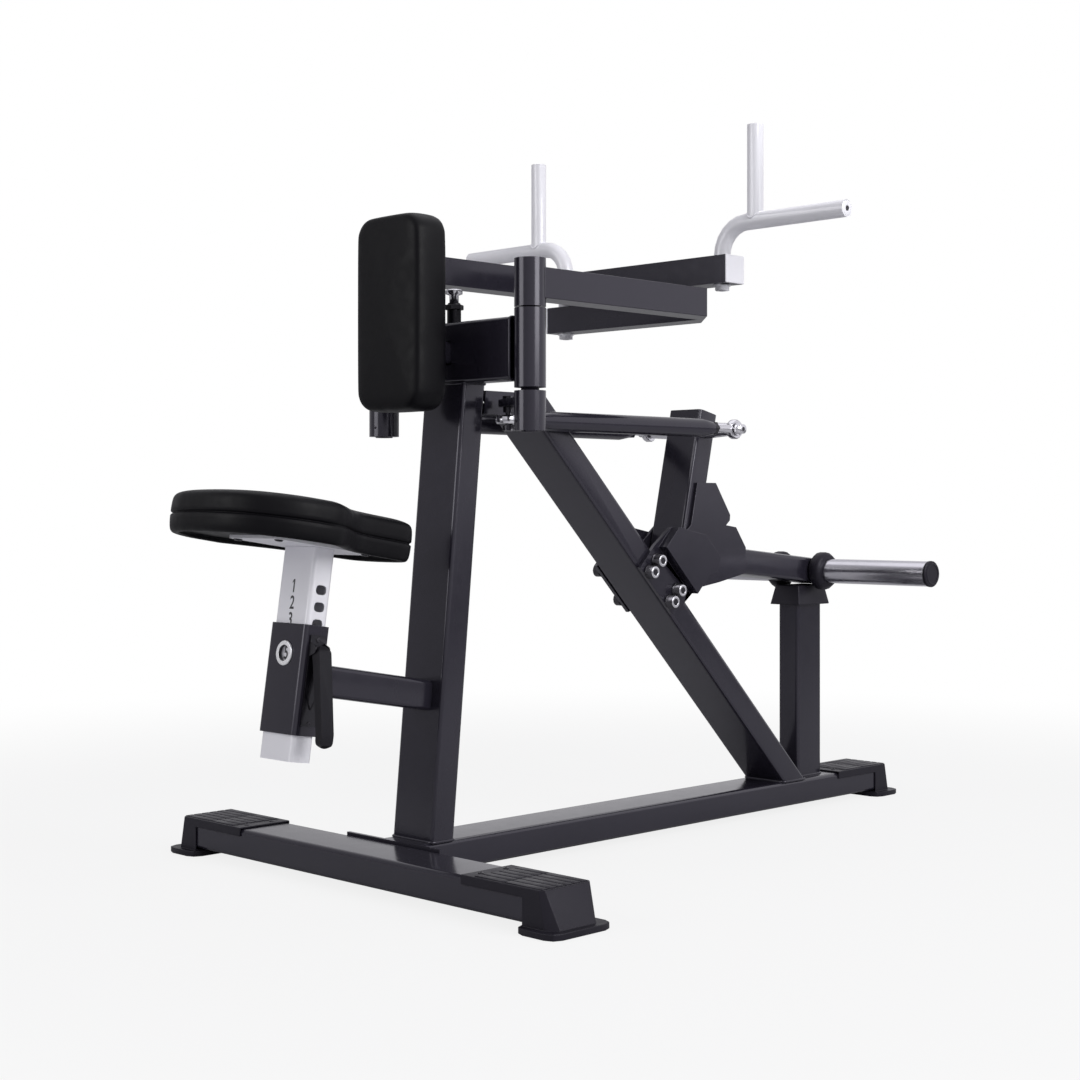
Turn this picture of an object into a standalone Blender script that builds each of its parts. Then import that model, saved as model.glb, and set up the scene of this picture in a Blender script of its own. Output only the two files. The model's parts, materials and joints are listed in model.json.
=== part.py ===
"""Plate-loaded seated row machine: welded tube frame, two crossed swinging arms, a rocker with
two weight horns, two tie rods, a height-adjustable seat and a sliding chest pad.

Frame: +X is the way the user faces, +Y the user's left, +Z up. The origin is on the floor,
under the middle of the machine. All sizes are in metres and all angles in degrees.
"""

import math

import bmesh
import bpy
import numpy as np
from mathutils import Matrix, Vector

# General clearances and walls
SEAT_GAP = 0.0003          # between pieces that touch
TUBE_WALL = 0.003
TUBE_CORNER = 0.007        # outer corner radius of the square tubes
ROUND_STEPS = 20
SMALL_STEPS = 14           # bolts, pins and bores under 25 mm across

# Base
BEAM_WIDTH = 0.100
BEAM_HEIGHT = 0.050
BEAM_BOTTOM = 0.013
CROSS_BEAM_X = -0.5405
CROSS_BEAM_REACH = 0.430   # half the length of the cross beam
BASE_BEAM_END_X = 0.8221
FLANGE_THICKNESS = 0.006
FLANGE_REACH = 0.116
FLANGE_PROUD = 0.004       # above the beams
FLANGE_DROP = 0.001        # below them
CAP_GRIP = 0.153           # how far an end cap's top runs back over its beam
CAP_CHEEK = 0.023          # how far its sides do
CAP_LIP = 0.015            # depth of the long top over the beam's sides
CAP_NOSE = 0.018           # solid end of the cap past the beam
CAP_WALL = 0.003
CAP_SLOPE = 0.023
CAP_CORNER_TOP = 0.007     # bevel of the nose's corners, wider at the floor
CAP_CORNER_FOOT = 0.017
FOOT_THICKNESS = 0.010
FOOT_PROUD = 0.011
FOOT_BACK = 0.031

# Upright, diagonal and rear stop
UPRIGHT_DEPTH = 0.050
UPRIGHT_WIDTH = 0.100
UPRIGHT_LEAN = 5.4
UPRIGHT_FOOT_X = -0.4227
DIAGONAL_DEPTH = 0.050
DIAGONAL_WIDTH = 0.100
DIAGONAL_FOOT_X = 0.5239   # centre line at the top of the base beam, 45 degrees
BRACE_HEIGHT = 0.039
BRACE_DROP = 0.011         # below the pivot bracket
STOP_POST_X = 0.6065
STOP_POST_DEPTH = 0.080
STOP_POST_WIDTH = 0.050
STOP_POST_TOP = 0.430
STOP_CAP_TOP = 0.452
STOP_CAP_HEIGHT = 0.040
STOP_CAP_WALL = 0.004
STOP_CAP_FLARE = 0.008

# Arm posts and their bracket
BRACKET_X = -0.3535
BRACKET_BOTTOM = 0.817
BRACKET_DEPTH = 0.050
BRACKET_HEIGHT = 0.102
POST_SPREAD = 0.182        # from the middle plane to a post
POST_RADIUS = 0.026
SHAFT_RADIUS = 0.015
SHAFT_CLEARANCE = 0.0004
SLEEVE_BOTTOM = 0.804
ARM_LEVEL_RIGHT = 0.947    # underside of the lower arm
ARM_LEVEL_LEFT = 1.009     # underside of the upper arm
COLLAR_BELOW = 0.013
COLLAR_ABOVE = 0.015
POST_GAP = 0.0022          # open joint between an arm's collar and its sleeve

# Arms and handles
ARM_TUBE = 0.050
ARM_REACH = 0.496          # post axis to the outer side of the cross leg
ARM_TIP_Y = 0.221          # past the middle plane
ARM_CHAMFER = 0.081
PLUG_THICKNESS = 0.004
HANDLE_Y = 0.195
HANDLE_RADIUS = 0.015
HANDLE_BEND = 0.055
GRIP_Z = 1.115
GRIP_END_Y = 0.4654
UPRIGHT_GRIP_Y = 0.270
UPRIGHT_GRIP_RADIUS = 0.0145
UPRIGHT_GRIP_TOP = 1.2844
STUD_RADIUS = 0.006
WASHER_RADIUS = 0.0155
WASHER_THICKNESS = 0.0025
NUT_RADIUS = 0.011
NUT_HEIGHT = 0.009
FOOT_NUT_RADIUS = 0.0135   # under a handle

# Cranks and tie rods
CRANK_BOTTOM = 0.734
CRANK_TOP = 0.7985
CRANK_ARM = 0.110
CRANK_ANGLE = 64.0
LEVER_TOP = 0.790
LEVER_THICKNESS = 0.012
LEVER_WIDTH = 0.034
ROD_Z = 0.757
ROD_RADIUS = 0.017
ROD_TIP_RADIUS = 0.012
ROD_TAPER = 0.030
ROD_END_GAP = 0.062        # eye centre to the end of the rod tube
EYE_RADIUS = 0.0185
EYE_THICKNESS = 0.014
CRANK_EYE_BORE = 0.0125
ROD_EYE_OFFSET = 0.0055    # the eye's rest place off its bolt, half the sideways travel
ROD_EYE_RISE = 0.0045      # room above the eye
AXLE_RADIUS = 0.009
AXLE_CLEARANCE = 0.0006
ROD_AXLE_Y = 0.107

# Rocker and its bearing brackets
PIVOT_X = 0.2040
PIVOT_Z = 0.507
ROCKER_LEAN = 12.8
ROCKER_DEPTH = 0.050
ROCKER_WIDTH = 0.080
ROCKER_TOP = 0.292         # above the pivot, along the tube
ROCKER_BELOW = 0.030
ROD_AXLE_UP = 0.2564       # above the pivot, along the tube
HUB_RADIUS = 0.0205
HUB_REACH = 0.0498
PIVOT_SHAFT_RADIUS = 0.015
PIVOT_SHAFT_REACH = 0.066
ROCKER_PLATE = 0.006
ROCKER_PLATE_ROUND = 0.056 # round the pivot
ROCKER_PLATE_BACK = 0.012  # behind the rocker tube's centre line
ROCKER_PLATE_TOP = 0.150
BRACKET_PLATE = 0.008
HOUSING_PROUD = 0.0195
BOLT_RADIUS = 0.008
BOLT_HEAD_RADIUS = 0.012
BOLT_HEAD_HEIGHT = 0.016
BOLT_WASHER_RADIUS = 0.0140
BOLT_SPREAD = 0.0145
BOLT_ROWS = (-0.081, -0.0016)

# Horns
HORN_ARM_SLOPE = 5.6
HORN_ARM_HEIGHT = 0.050
HORN_ARM_WIDTH = 0.080
HORN_ARM_START = 0.045     # from the pivot, along the arm
HORN_ARM_END = 0.450
HORN_ARM_RISE = 0.014      # centre line above the pivot
HORN_ALONG = 0.411
HORN_RADIUS = 0.0245
HORN_REACH = 0.306
HORN_COLLAR_RADIUS = 0.038
HORN_COLLAR_LENGTH = 0.030
HORN_CAP_LENGTH = 0.007

# Seat
SEAT_LEAN = 8.5
SLEEVE_X = -0.6890
SLEEVE_Z = 0.3437
SLEEVE_DEPTH = 0.048
SLEEVE_WIDTH = 0.090
SLEEVE_LENGTH = 0.170
SLEEVE_WALL = 0.0036
POST_CLEARANCE = 0.0004
POST_WALL = 0.003
POST_BELOW = 0.126         # sleeve centre to the post's lower end
POST_ABOVE = 0.205
SEAT_ARM_SLOPE = 10.0
SEAT_ARM_SIZE = 0.050
SEAT_ARM_X = -0.5165
SEAT_ARM_Z = 0.3162
HOLE_PITCH = 0.0265
HOLE_COUNT = 5
HOLE_WIDTH = 0.020
HOLE_HEIGHT = 0.015
WINDOW_UP = 0.0385
WINDOW_RADIUS = 0.0145
RING_RADIUS = 0.0195
RING_PROUD = 0.003
SEAT_PLATE_LENGTH = 0.200
SEAT_PLATE_WIDTH = 0.130
SEAT_PLATE_THICKNESS = 0.005
CUSHION_THICKNESS = 0.058
CUSHION_RIM = 0.009        # how far its edge hangs below the board
CUSHION_RIM_WIDTH = 0.016
CUSHION_BACK = 0.2190      # post axis to the rear edge
CUSHION_FRONT = 0.165
CUSHION_HALF_WIDE = 0.157
CUSHION_HALF_NARROW = 0.084
LEVER_PIVOT_UP = 0.048
LEVER_PIVOT_OUT = 0.011    # from the sleeve's side face
LEVER_PIVOT_RADIUS = 0.003
LEVER_LENGTH = 0.148
LEVER_WIDTH_ACROSS = 0.024
LEVER_BASE_LENGTH = 0.140
LEVER_BASE_THICKNESS = 0.003
EAR_THICKNESS = 0.002
EAR_RADIUS = 0.007
LOCK_PIN_RADIUS = 0.005
LOCK_PIN_UP = 0.0341
LOCK_PIN_REACH = 0.0056    # out of the sleeve's side face

# Chest pad
CHEST_TUBE = 0.038
CHEST_TUBE_Z = 0.868
CHEST_PAD_BACK_X = -0.4365
CHEST_TUBE_LENGTH = 0.138
CHEST_PLATE_THICKNESS = 0.005
CHEST_PLATE_WIDTH = 0.110
CHEST_PLATE_HEIGHT = 0.240
CHEST_PAD_WIDTH = 0.160
CHEST_PAD_BOTTOM = 0.766
CHEST_PAD_TOP = 1.088
CHEST_PAD_THICKNESS = 0.069
CHEST_PAD_CORNER = 0.038
PIN_BOSS_RADIUS = 0.012
PIN_BOSS_TOP = 0.954
PULL_PIN_RADIUS = 0.006
PULL_PIN_TOP = 0.977
PULL_STEM_RADIUS = 0.008
PULL_KNOB_RADIUS = 0.0145
PULL_KNOB_HEIGHT = 0.010

BASE_TOP = BEAM_BOTTOM + BEAM_HEIGHT
BRACKET_TOP = BRACKET_BOTTOM + BRACKET_HEIGHT
BRACE_TOP = BRACKET_BOTTOM - BRACE_DROP
PLATE_INNER = DIAGONAL_WIDTH / 2 + SEAT_GAP
PLATE_OUTER = PLATE_INNER + BRACKET_PLATE
LARGE = 2.0


def clear_scene():
    """Remove what the scene holds."""
    for obj in list(bpy.data.objects):
        bpy.data.objects.remove(obj, do_unlink=True)


def new_collection(name, hidden=False):
    """Make a collection in the scene."""
    collection = bpy.data.collections.new(name)
    collection.hide_render = hidden
    bpy.context.scene.collection.children.link(collection)
    return collection


def material(name, color, roughness, metallic):
    """Make a Principled material."""
    made = bpy.data.materials.new(name)
    made.use_nodes = True
    shader = made.node_tree.nodes["Principled BSDF"]
    shader.inputs["Base Color"].default_value = (*color, 1.0)
    shader.inputs["Roughness"].default_value = roughness
    shader.inputs["Metallic"].default_value = metallic
    made.diffuse_color = (*color, 1.0)
    return made


clear_scene()
MACHINE = new_collection("row_machine")
CUTTERS = new_collection("cutters", hidden=True)
FRAME_BLACK = material("frame_black", (0.035, 0.035, 0.040), 0.45, 0.2)
RUBBER = material("black_rubber", (0.015, 0.015, 0.016), 0.75, 0.0)
SILVER = material("silver_paint", (0.62, 0.62, 0.65), 0.35, 0.6)
CHROME = material("chrome", (0.80, 0.80, 0.82), 0.12, 1.0)
UPHOLSTERY = material("upholstery", (0.012, 0.012, 0.013), 0.6, 0.0)
PLASTIC = material("black_plastic", (0.02, 0.02, 0.021), 0.5, 0.0)


def place(x=0.0, y=0.0, z=0.0):
    """Return a matrix that moves to a point."""
    return Matrix.Translation((x, y, z))


def turn(degrees, axis):
    """Return a matrix that turns about an axis through the origin."""
    return Matrix.Rotation(math.radians(degrees), 4, axis)


def aim(start, end):
    """Return a matrix whose origin is at start and whose +Z points at end."""
    direction = (Vector(end) - Vector(start)).normalized()
    return Matrix.Translation(start) @ direction.to_track_quat("Z", "Y").to_matrix().to_4x4()


def add_object(name, mesh, matrix, finish, smooth=False):
    """Put a mesh in the machine under a node name."""
    obj = bpy.data.objects.new(name, mesh)
    MACHINE.objects.link(obj)
    obj.matrix_world = matrix
    mesh.materials.clear()
    mesh.materials.append(finish)
    if smooth:
        mesh.shade_smooth()
        mesh.set_sharp_from_angle(angle=math.radians(35))
    return obj


def mesh_from(name, work):
    """Turn a bmesh into a mesh with its faces outwards."""
    bmesh.ops.recalc_face_normals(work, faces=work.faces)
    mesh = bpy.data.meshes.new(name)
    work.to_mesh(mesh)
    work.free()
    return mesh


def block(name, size, matrix, finish, bevel=0.0):
    """Make a box, centred on its matrix, with optional rounded edges."""
    work = bmesh.new()
    bmesh.ops.create_cube(work, size=1.0)
    bmesh.ops.scale(work, vec=Vector(size), verts=work.verts)
    obj = add_object(name, mesh_from(name, work), matrix, finish)
    if bevel:
        rounding = obj.modifiers.new("rounding", "BEVEL")
        rounding.width = bevel
        rounding.segments = 2
    return obj


def cylinder(name, radius, length, matrix, finish, steps=ROUND_STEPS, top_radius=None):
    """Make a cylinder or cone from its matrix's origin along +Z."""
    work = bmesh.new()
    bmesh.ops.create_cone(
        work, cap_ends=True, segments=steps, radius1=radius,
        radius2=radius if top_radius is None else top_radius, depth=length,
    )
    bmesh.ops.translate(work, vec=(0, 0, length / 2), verts=work.verts)
    return add_object(name, mesh_from(name, work), matrix, finish, smooth=True)


def turned(name, profile, matrix, finish, steps=ROUND_STEPS):
    """Make a turned piece from (radius, height) points, closed on the axis or on itself."""
    mesh = bpy.data.meshes.new(name)
    points = [(r, 0.0, z) for r, z in profile]
    edges = [(i, i + 1) for i in range(len(points) - 1)]
    if profile[0][0] > 0 and profile[-1][0] > 0:
        edges.append((len(points) - 1, 0))
    mesh.from_pydata(points, edges, [])
    obj = add_object(name, mesh, Matrix.Identity(4), finish)
    spin = obj.modifiers.new("spin", "SCREW")
    spin.steps = spin.render_steps = steps
    spin.use_merge_vertices = True
    spin.merge_threshold = 0.00002
    return settle(obj, matrix, finish, smooth=True)


def settle(obj, matrix, finish, smooth=False):
    """Replace an object by its evaluated mesh, welded and facing out."""
    graph = bpy.context.evaluated_depsgraph_get()
    name = obj.name
    mesh = bpy.data.meshes.new_from_object(obj.evaluated_get(graph))
    bpy.data.objects.remove(obj, do_unlink=True)
    work = bmesh.new()
    work.from_mesh(mesh)
    bmesh.ops.remove_doubles(work, verts=work.verts, dist=0.00001)
    return add_object(name, mesh_from(name, work), matrix, finish, smooth)


def plate(name, loops, thickness, matrix, finish):
    """Make a flat piece from closed outlines in its own XY, centred on its thickness."""
    curve = bpy.data.curves.new(name, "CURVE")
    curve.dimensions = "2D"
    curve.fill_mode = "BOTH"
    curve.extrude = thickness / 2
    for loop in loops:
        spline = curve.splines.new("POLY")
        spline.points.add(len(loop) - 1)
        for point, (x, y) in zip(spline.points, loop):
            point.co = (x, y, 0.0, 1.0)
        spline.use_cyclic_u = True
    obj = bpy.data.objects.new(name, curve)
    MACHINE.objects.link(obj)
    return settle(obj, matrix, finish)


def arc(x, y, radius, start, end, steps):
    """Return points along an arc, from start to end in degrees."""
    angles = np.radians(np.linspace(start, end, steps + 1))
    return [(x + radius * math.cos(a), y + radius * math.sin(a)) for a in angles]


def rounded(width, height, radius, steps=2):
    """Return the outline of a rectangle with rounded corners."""
    x, y = width / 2 - radius, height / 2 - radius
    corners = ((x, y, 0), (-x, y, 90), (-x, -y, 180), (x, -y, 270))
    return [p for cx, cy, a in corners for p in arc(cx, cy, radius, a, a + 90, steps)]


def tube(name, width, height, length, matrix, finish, wall=TUBE_WALL):
    """Make a square tube along its matrix's Z, centred on its length."""
    outer = rounded(width, height, TUBE_CORNER)
    inner = rounded(width - 2 * wall, height - 2 * wall, TUBE_CORNER - wall, 1)
    return plate(name, [outer, inner], length, matrix, finish)


def capped_tube(name, width, height, length, matrix, finish, wall=TUBE_WALL):
    """Make a square tube along its matrix's Z, centred on its length and closed at its +Z end."""
    shell = plate(name, [rounded(width, height, TUBE_CORNER)], length, matrix, finish)
    inner = rounded(width - 2 * wall, height - 2 * wall, TUBE_CORNER - wall, 1)
    return cut(shell, plate("core", [inner], length, matrix @ place(0, 0, -wall), finish))


def bent_tube(name, points, radius, finish, sides=3):
    """Make a round bar along a list of points."""
    curve = bpy.data.curves.new(name, "CURVE")
    curve.dimensions = "3D"
    curve.bevel_depth = radius
    curve.bevel_resolution = sides
    curve.use_fill_caps = True
    spline = curve.splines.new("POLY")
    spline.points.add(len(points) - 1)
    for point, place_at in zip(spline.points, points):
        point.co = (*place_at, 1.0)
    obj = bpy.data.objects.new(name, curve)
    MACHINE.objects.link(obj)
    return settle(obj, Matrix.Identity(4), finish, smooth=True)


def combine(target, other, operation):
    """Add, cut or keep the common part of another object, kept as a hidden guide."""
    MACHINE.objects.unlink(other)
    CUTTERS.objects.link(other)
    other.name = f"{target.name}_{operation.lower()}"
    other.hide_render = True
    other.display_type = "WIRE"
    change = target.modifiers.new(operation.lower(), "BOOLEAN")
    change.operation = operation
    change.solver = "EXACT"
    change.object = other
    return target


def cut(target, other):
    """Cut another object out of a piece."""
    return combine(target, other, "DIFFERENCE")


def weld(target, other):
    """Join another object to a piece."""
    return combine(target, other, "UNION")


def cut_slab(target, low, high):
    """Cut a box, given by its two corners, out of a piece."""
    low, high = Vector(low), Vector(high)
    return cut(target, block("slab", high - low, Matrix.Translation((low + high) / 2), FRAME_BLACK))


def cut_bore(target, radius, start, end, steps=ROUND_STEPS):
    """Cut a round hole from start to end out of a piece."""
    length = (Vector(end) - Vector(start)).length
    return cut(target, cylinder("bore", radius, length, aim(start, end), FRAME_BLACK, steps))


ALONG_Y = turn(-90, "X")
SIDE_VIEW = turn(90, "X")   # outline (x, z) of a side plate, with its thickness along Y


def leaning(x, z, degrees):
    """Return a frame at (x, 0, z) whose +Z leans forward, with +X square to it."""
    return place(x, 0, z) @ turn(degrees, "Y")


def end_cap(name, matrix):
    """Make a moulded end cap; its own +X points out of the beam, from the beam's end."""
    half_height = BEAM_HEIGHT / 2
    top = half_height + CAP_WALL
    bottom = -half_height - BEAM_BOTTOM + FOOT_THICKNESS / 2
    width = BEAM_WIDTH + 2 * CAP_WALL
    side = width / 2
    work = bmesh.new()
    loops = []
    for z, nose, corner in ((bottom, CAP_NOSE + CAP_SLOPE, CAP_CORNER_FOOT), (top, CAP_NOSE, CAP_CORNER_TOP)):
        outline = [(-CAP_GRIP, -side), (nose - corner, -side), (nose, corner - side),
                   (nose, side - corner), (nose - corner, side), (-CAP_GRIP, side)]
        verts = [work.verts.new((x, y, z)) for x, y in outline]
        loops.append([work.edges.new((verts[i - 1], verts[i])) for i in range(len(verts))])
    bmesh.ops.bridge_loops(work, edges=loops[0] + loops[1])
    for ends in loops:
        bmesh.ops.contextual_create(work, geom=ends)
    cap = add_object(name, mesh_from(name, work), matrix, RUBBER)
    under = (CAP_GRIP, 2 * width, BEAM_HEIGHT + BEAM_BOTTOM)
    lip_z = top - CAP_LIP - under[2] / 2
    cut(cap, block("step", under, matrix @ place(-CAP_CHEEK - CAP_GRIP / 2, 0, lip_z), RUBBER))
    foot_length = FOOT_BACK + CAP_NOSE + CAP_SLOPE + FOOT_PROUD
    foot_z = -half_height - BEAM_BOTTOM + FOOT_THICKNESS / 2
    foot_x = CAP_NOSE + CAP_SLOPE + FOOT_PROUD - foot_length / 2
    foot = plate(
        "foot", [rounded(foot_length, width + 2 * FOOT_PROUD, 0.020)], FOOT_THICKNESS,
        matrix @ place(foot_x, 0, foot_z), RUBBER,
    )
    weld(cap, foot)
    pocket = (CAP_GRIP * 2, BEAM_WIDTH + 2 * SEAT_GAP, BEAM_HEIGHT + 2 * SEAT_GAP)
    cut(cap, block("pocket", pocket, matrix @ place(SEAT_GAP - CAP_GRIP, 0, 0), RUBBER))
    return cap


def build_base():
    """Make the cross beam, the long base beam with its flange, and the three end caps."""
    middle = BEAM_BOTTOM + BEAM_HEIGHT / 2
    tube("front_cross_beam", BEAM_WIDTH, BEAM_HEIGHT, 2 * CROSS_BEAM_REACH,
         place(CROSS_BEAM_X, 0, middle) @ ALONG_Y, FRAME_BLACK)
    flange_x = CROSS_BEAM_X + BEAM_WIDTH / 2 + SEAT_GAP
    start = flange_x + FLANGE_THICKNESS / 2
    length = BASE_BEAM_END_X - start
    lying = place(start + length / 2, 0, middle) @ turn(90, "Y") @ turn(90, "Z")
    beam = tube("base_beam", BEAM_WIDTH, BEAM_HEIGHT, length, lying, FRAME_BLACK)
    flange_size = (FLANGE_THICKNESS, 2 * FLANGE_REACH, BEAM_HEIGHT + FLANGE_PROUD + FLANGE_DROP)
    flange_at = place(start, 0, middle + (FLANGE_PROUD - FLANGE_DROP) / 2)
    weld(beam, block("flange", flange_size, flange_at, FRAME_BLACK))
    end_cap("end_cap_rear", place(BASE_BEAM_END_X, 0, middle))
    end_cap("end_cap_left", place(CROSS_BEAM_X, CROSS_BEAM_REACH, middle) @ turn(90, "Z"))
    end_cap("end_cap_right", place(CROSS_BEAM_X, -CROSS_BEAM_REACH, middle) @ turn(-90, "Z"))


def upright_frame():
    """Return the upright's frame, at the foot of its centre line."""
    return leaning(UPRIGHT_FOOT_X, BASE_TOP, UPRIGHT_LEAN)


def upright_front(z):
    """Return the x of the upright's front face at a height."""
    lean = math.radians(UPRIGHT_LEAN)
    return UPRIGHT_FOOT_X + (z - BASE_TOP) * math.tan(lean) + UPRIGHT_DEPTH / 2 / math.cos(lean)


def diagonal_frame():
    """Return the diagonal's frame: +X down and forward along it, +Z square out of its top."""
    return place(DIAGONAL_FOOT_X, 0, BASE_TOP) @ turn(45, "Y")


def diagonal_under(z):
    """Return the x of the diagonal's lower face at a height."""
    return DIAGONAL_FOOT_X + BASE_TOP - z - DIAGONAL_DEPTH / math.sqrt(2)


def build_uprights():
    """Make the upright, the diagonal, the brace between them and the rear stop."""
    floor_cut = ((-LARGE, -LARGE, -LARGE), (LARGE, LARGE, BASE_TOP + SEAT_GAP))
    length = 1.0
    upright = tube("main_upright", UPRIGHT_DEPTH, UPRIGHT_WIDTH, length,
                   upright_frame() @ place(0, 0, length / 2 - 0.1), FRAME_BLACK)
    cut_slab(upright, *floor_cut)
    cut_slab(upright, (-LARGE, -LARGE, BRACKET_BOTTOM - SEAT_GAP), (LARGE, LARGE, LARGE))
    length = 1.4
    standing = diagonal_frame() @ place(0.1 - length / 2, 0, 0) @ turn(90, "Y")
    diagonal = tube("diagonal_beam", DIAGONAL_DEPTH, DIAGONAL_WIDTH, length, standing, FRAME_BLACK)
    cut_slab(diagonal, *floor_cut)
    cut_slab(diagonal, (-LARGE, -LARGE, BRACE_TOP), (LARGE, LARGE, LARGE))
    low = BRACE_TOP - BRACE_HEIGHT
    outline = [
        (upright_front(low) + SEAT_GAP, low), (diagonal_under(low) - SEAT_GAP, low),
        (diagonal_under(BRACE_TOP) - SEAT_GAP, BRACE_TOP),
        (upright_front(BRACE_TOP) + SEAT_GAP, BRACE_TOP),
    ]
    brace = plate("top_brace", [outline], UPRIGHT_WIDTH, SIDE_VIEW, FRAME_BLACK)
    inner = UPRIGHT_WIDTH / 2 - TUBE_WALL
    cut_slab(brace, (-LARGE, -inner, low + TUBE_WALL), (LARGE, inner, BRACE_TOP - TUBE_WALL))
    height = STOP_POST_TOP - BASE_TOP - SEAT_GAP
    tube("rear_stop_post", STOP_POST_DEPTH, STOP_POST_WIDTH, height,
         place(STOP_POST_X, 0, STOP_POST_TOP - height / 2), FRAME_BLACK)
    build_stop_cap()


def build_stop_cap():
    """Make the flared rubber cap that the horn arm rests on."""
    bottom = STOP_CAP_TOP - STOP_CAP_HEIGHT
    depth, width = STOP_POST_DEPTH + 2 * STOP_CAP_WALL, STOP_POST_WIDTH + 2 * STOP_CAP_WALL
    work = bmesh.new()
    bmesh.ops.create_cube(work, size=1.0)
    bmesh.ops.scale(work, vec=(depth, width, STOP_CAP_HEIGHT), verts=work.verts)
    foot = [vert for vert in work.verts if vert.co.z < 0]
    spread = ((depth + 2 * STOP_CAP_FLARE) / depth, (width + 2 * STOP_CAP_FLARE) / width, 1.0)
    bmesh.ops.scale(work, vec=spread, verts=foot)
    cap = add_object("stop_cap", mesh_from("stop_cap", work),
                     place(STOP_POST_X, 0, bottom + STOP_CAP_HEIGHT / 2), RUBBER)
    reach_x, reach_y = STOP_POST_DEPTH / 2 + SEAT_GAP, STOP_POST_WIDTH / 2 + SEAT_GAP
    cut_slab(cap, (STOP_POST_X - reach_x, -reach_y, 0),
             (STOP_POST_X + reach_x, reach_y, STOP_POST_TOP + SEAT_GAP))


def build_pivot_bracket():
    """Make the cross bracket on top of the upright and its two post sleeves."""
    reach = POST_SPREAD - POST_RADIUS - SEAT_GAP
    bracket = tube("pivot_bracket", BRACKET_DEPTH, BRACKET_HEIGHT, 2 * reach,
                   place(BRACKET_X, 0, BRACKET_BOTTOM + BRACKET_HEIGHT / 2) @ ALONG_Y, FRAME_BLACK)
    half = CHEST_TUBE / 2 + 2 * SEAT_GAP
    cut_slab(bracket, (-LARGE, -half, CHEST_TUBE_Z - half), (0, half, CHEST_TUBE_Z + half))
    cut_bore(bracket, PULL_PIN_RADIUS + SHAFT_CLEARANCE, (BRACKET_X, 0, CHEST_TUBE_Z),
             (BRACKET_X, 0, BRACKET_TOP + TUBE_WALL), SMALL_STEPS)
    bore = SHAFT_RADIUS + SHAFT_CLEARANCE
    sides = (("post_sleeve_right", -1, ARM_LEVEL_RIGHT), ("post_sleeve_left", 1, ARM_LEVEL_LEFT))
    for name, side, level in sides:
        top = level - COLLAR_BELOW - POST_GAP
        profile = [(bore, top), (POST_RADIUS, top), (POST_RADIUS, SLEEVE_BOTTOM), (bore, SLEEVE_BOTTOM)]
        turned(name, profile, place(BRACKET_X, side * POST_SPREAD, 0), FRAME_BLACK)
    boss_bore = PULL_PIN_RADIUS + SHAFT_CLEARANCE
    low = BRACKET_TOP + SEAT_GAP
    profile = [(boss_bore, PIN_BOSS_TOP), (PIN_BOSS_RADIUS * 0.85, PIN_BOSS_TOP),
               (PIN_BOSS_RADIUS, PIN_BOSS_TOP - 0.004), (PIN_BOSS_RADIUS, low), (boss_bore, low)]
    turned("pull_pin_boss", profile, place(BRACKET_X, 0, 0), PLASTIC, SMALL_STEPS)
    foot = CHEST_TUBE_Z + CHEST_TUBE / 2 + SEAT_GAP
    profile = [(0, foot), (PULL_PIN_RADIUS, foot),
               (PULL_PIN_RADIUS, PIN_BOSS_TOP + SEAT_GAP),
               (PULL_STEM_RADIUS, PIN_BOSS_TOP + SEAT_GAP),
               (PULL_STEM_RADIUS, PULL_PIN_TOP - PULL_KNOB_HEIGHT),
               (PULL_KNOB_RADIUS, PULL_PIN_TOP - PULL_KNOB_HEIGHT + 0.002),
               (PULL_KNOB_RADIUS, PULL_PIN_TOP - 0.002), (PULL_KNOB_RADIUS - 0.002, PULL_PIN_TOP),
               (0, PULL_PIN_TOP)]
    turned("chest_pull_pin", profile, place(BRACKET_X, 0, 0), CHROME, SMALL_STEPS)


def arm_outline(inset=0.0, tip=0.0):
    """Return the plan outline of an arm from its post's axis: out along +X, then along +Y."""
    half = ARM_TUBE / 2 - inset
    outer = ARM_REACH - inset
    inner = ARM_REACH - ARM_TUBE + inset
    end = POST_SPREAD + ARM_TIP_Y + tip
    chamfer = ARM_CHAMFER - inset * (2 - math.sqrt(2))
    start = inset * 12
    return [(start, -half), (outer - chamfer, -half), (outer, chamfer - half), (outer, end), (inner, end),
            (inner, half), (start, half)]


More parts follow.
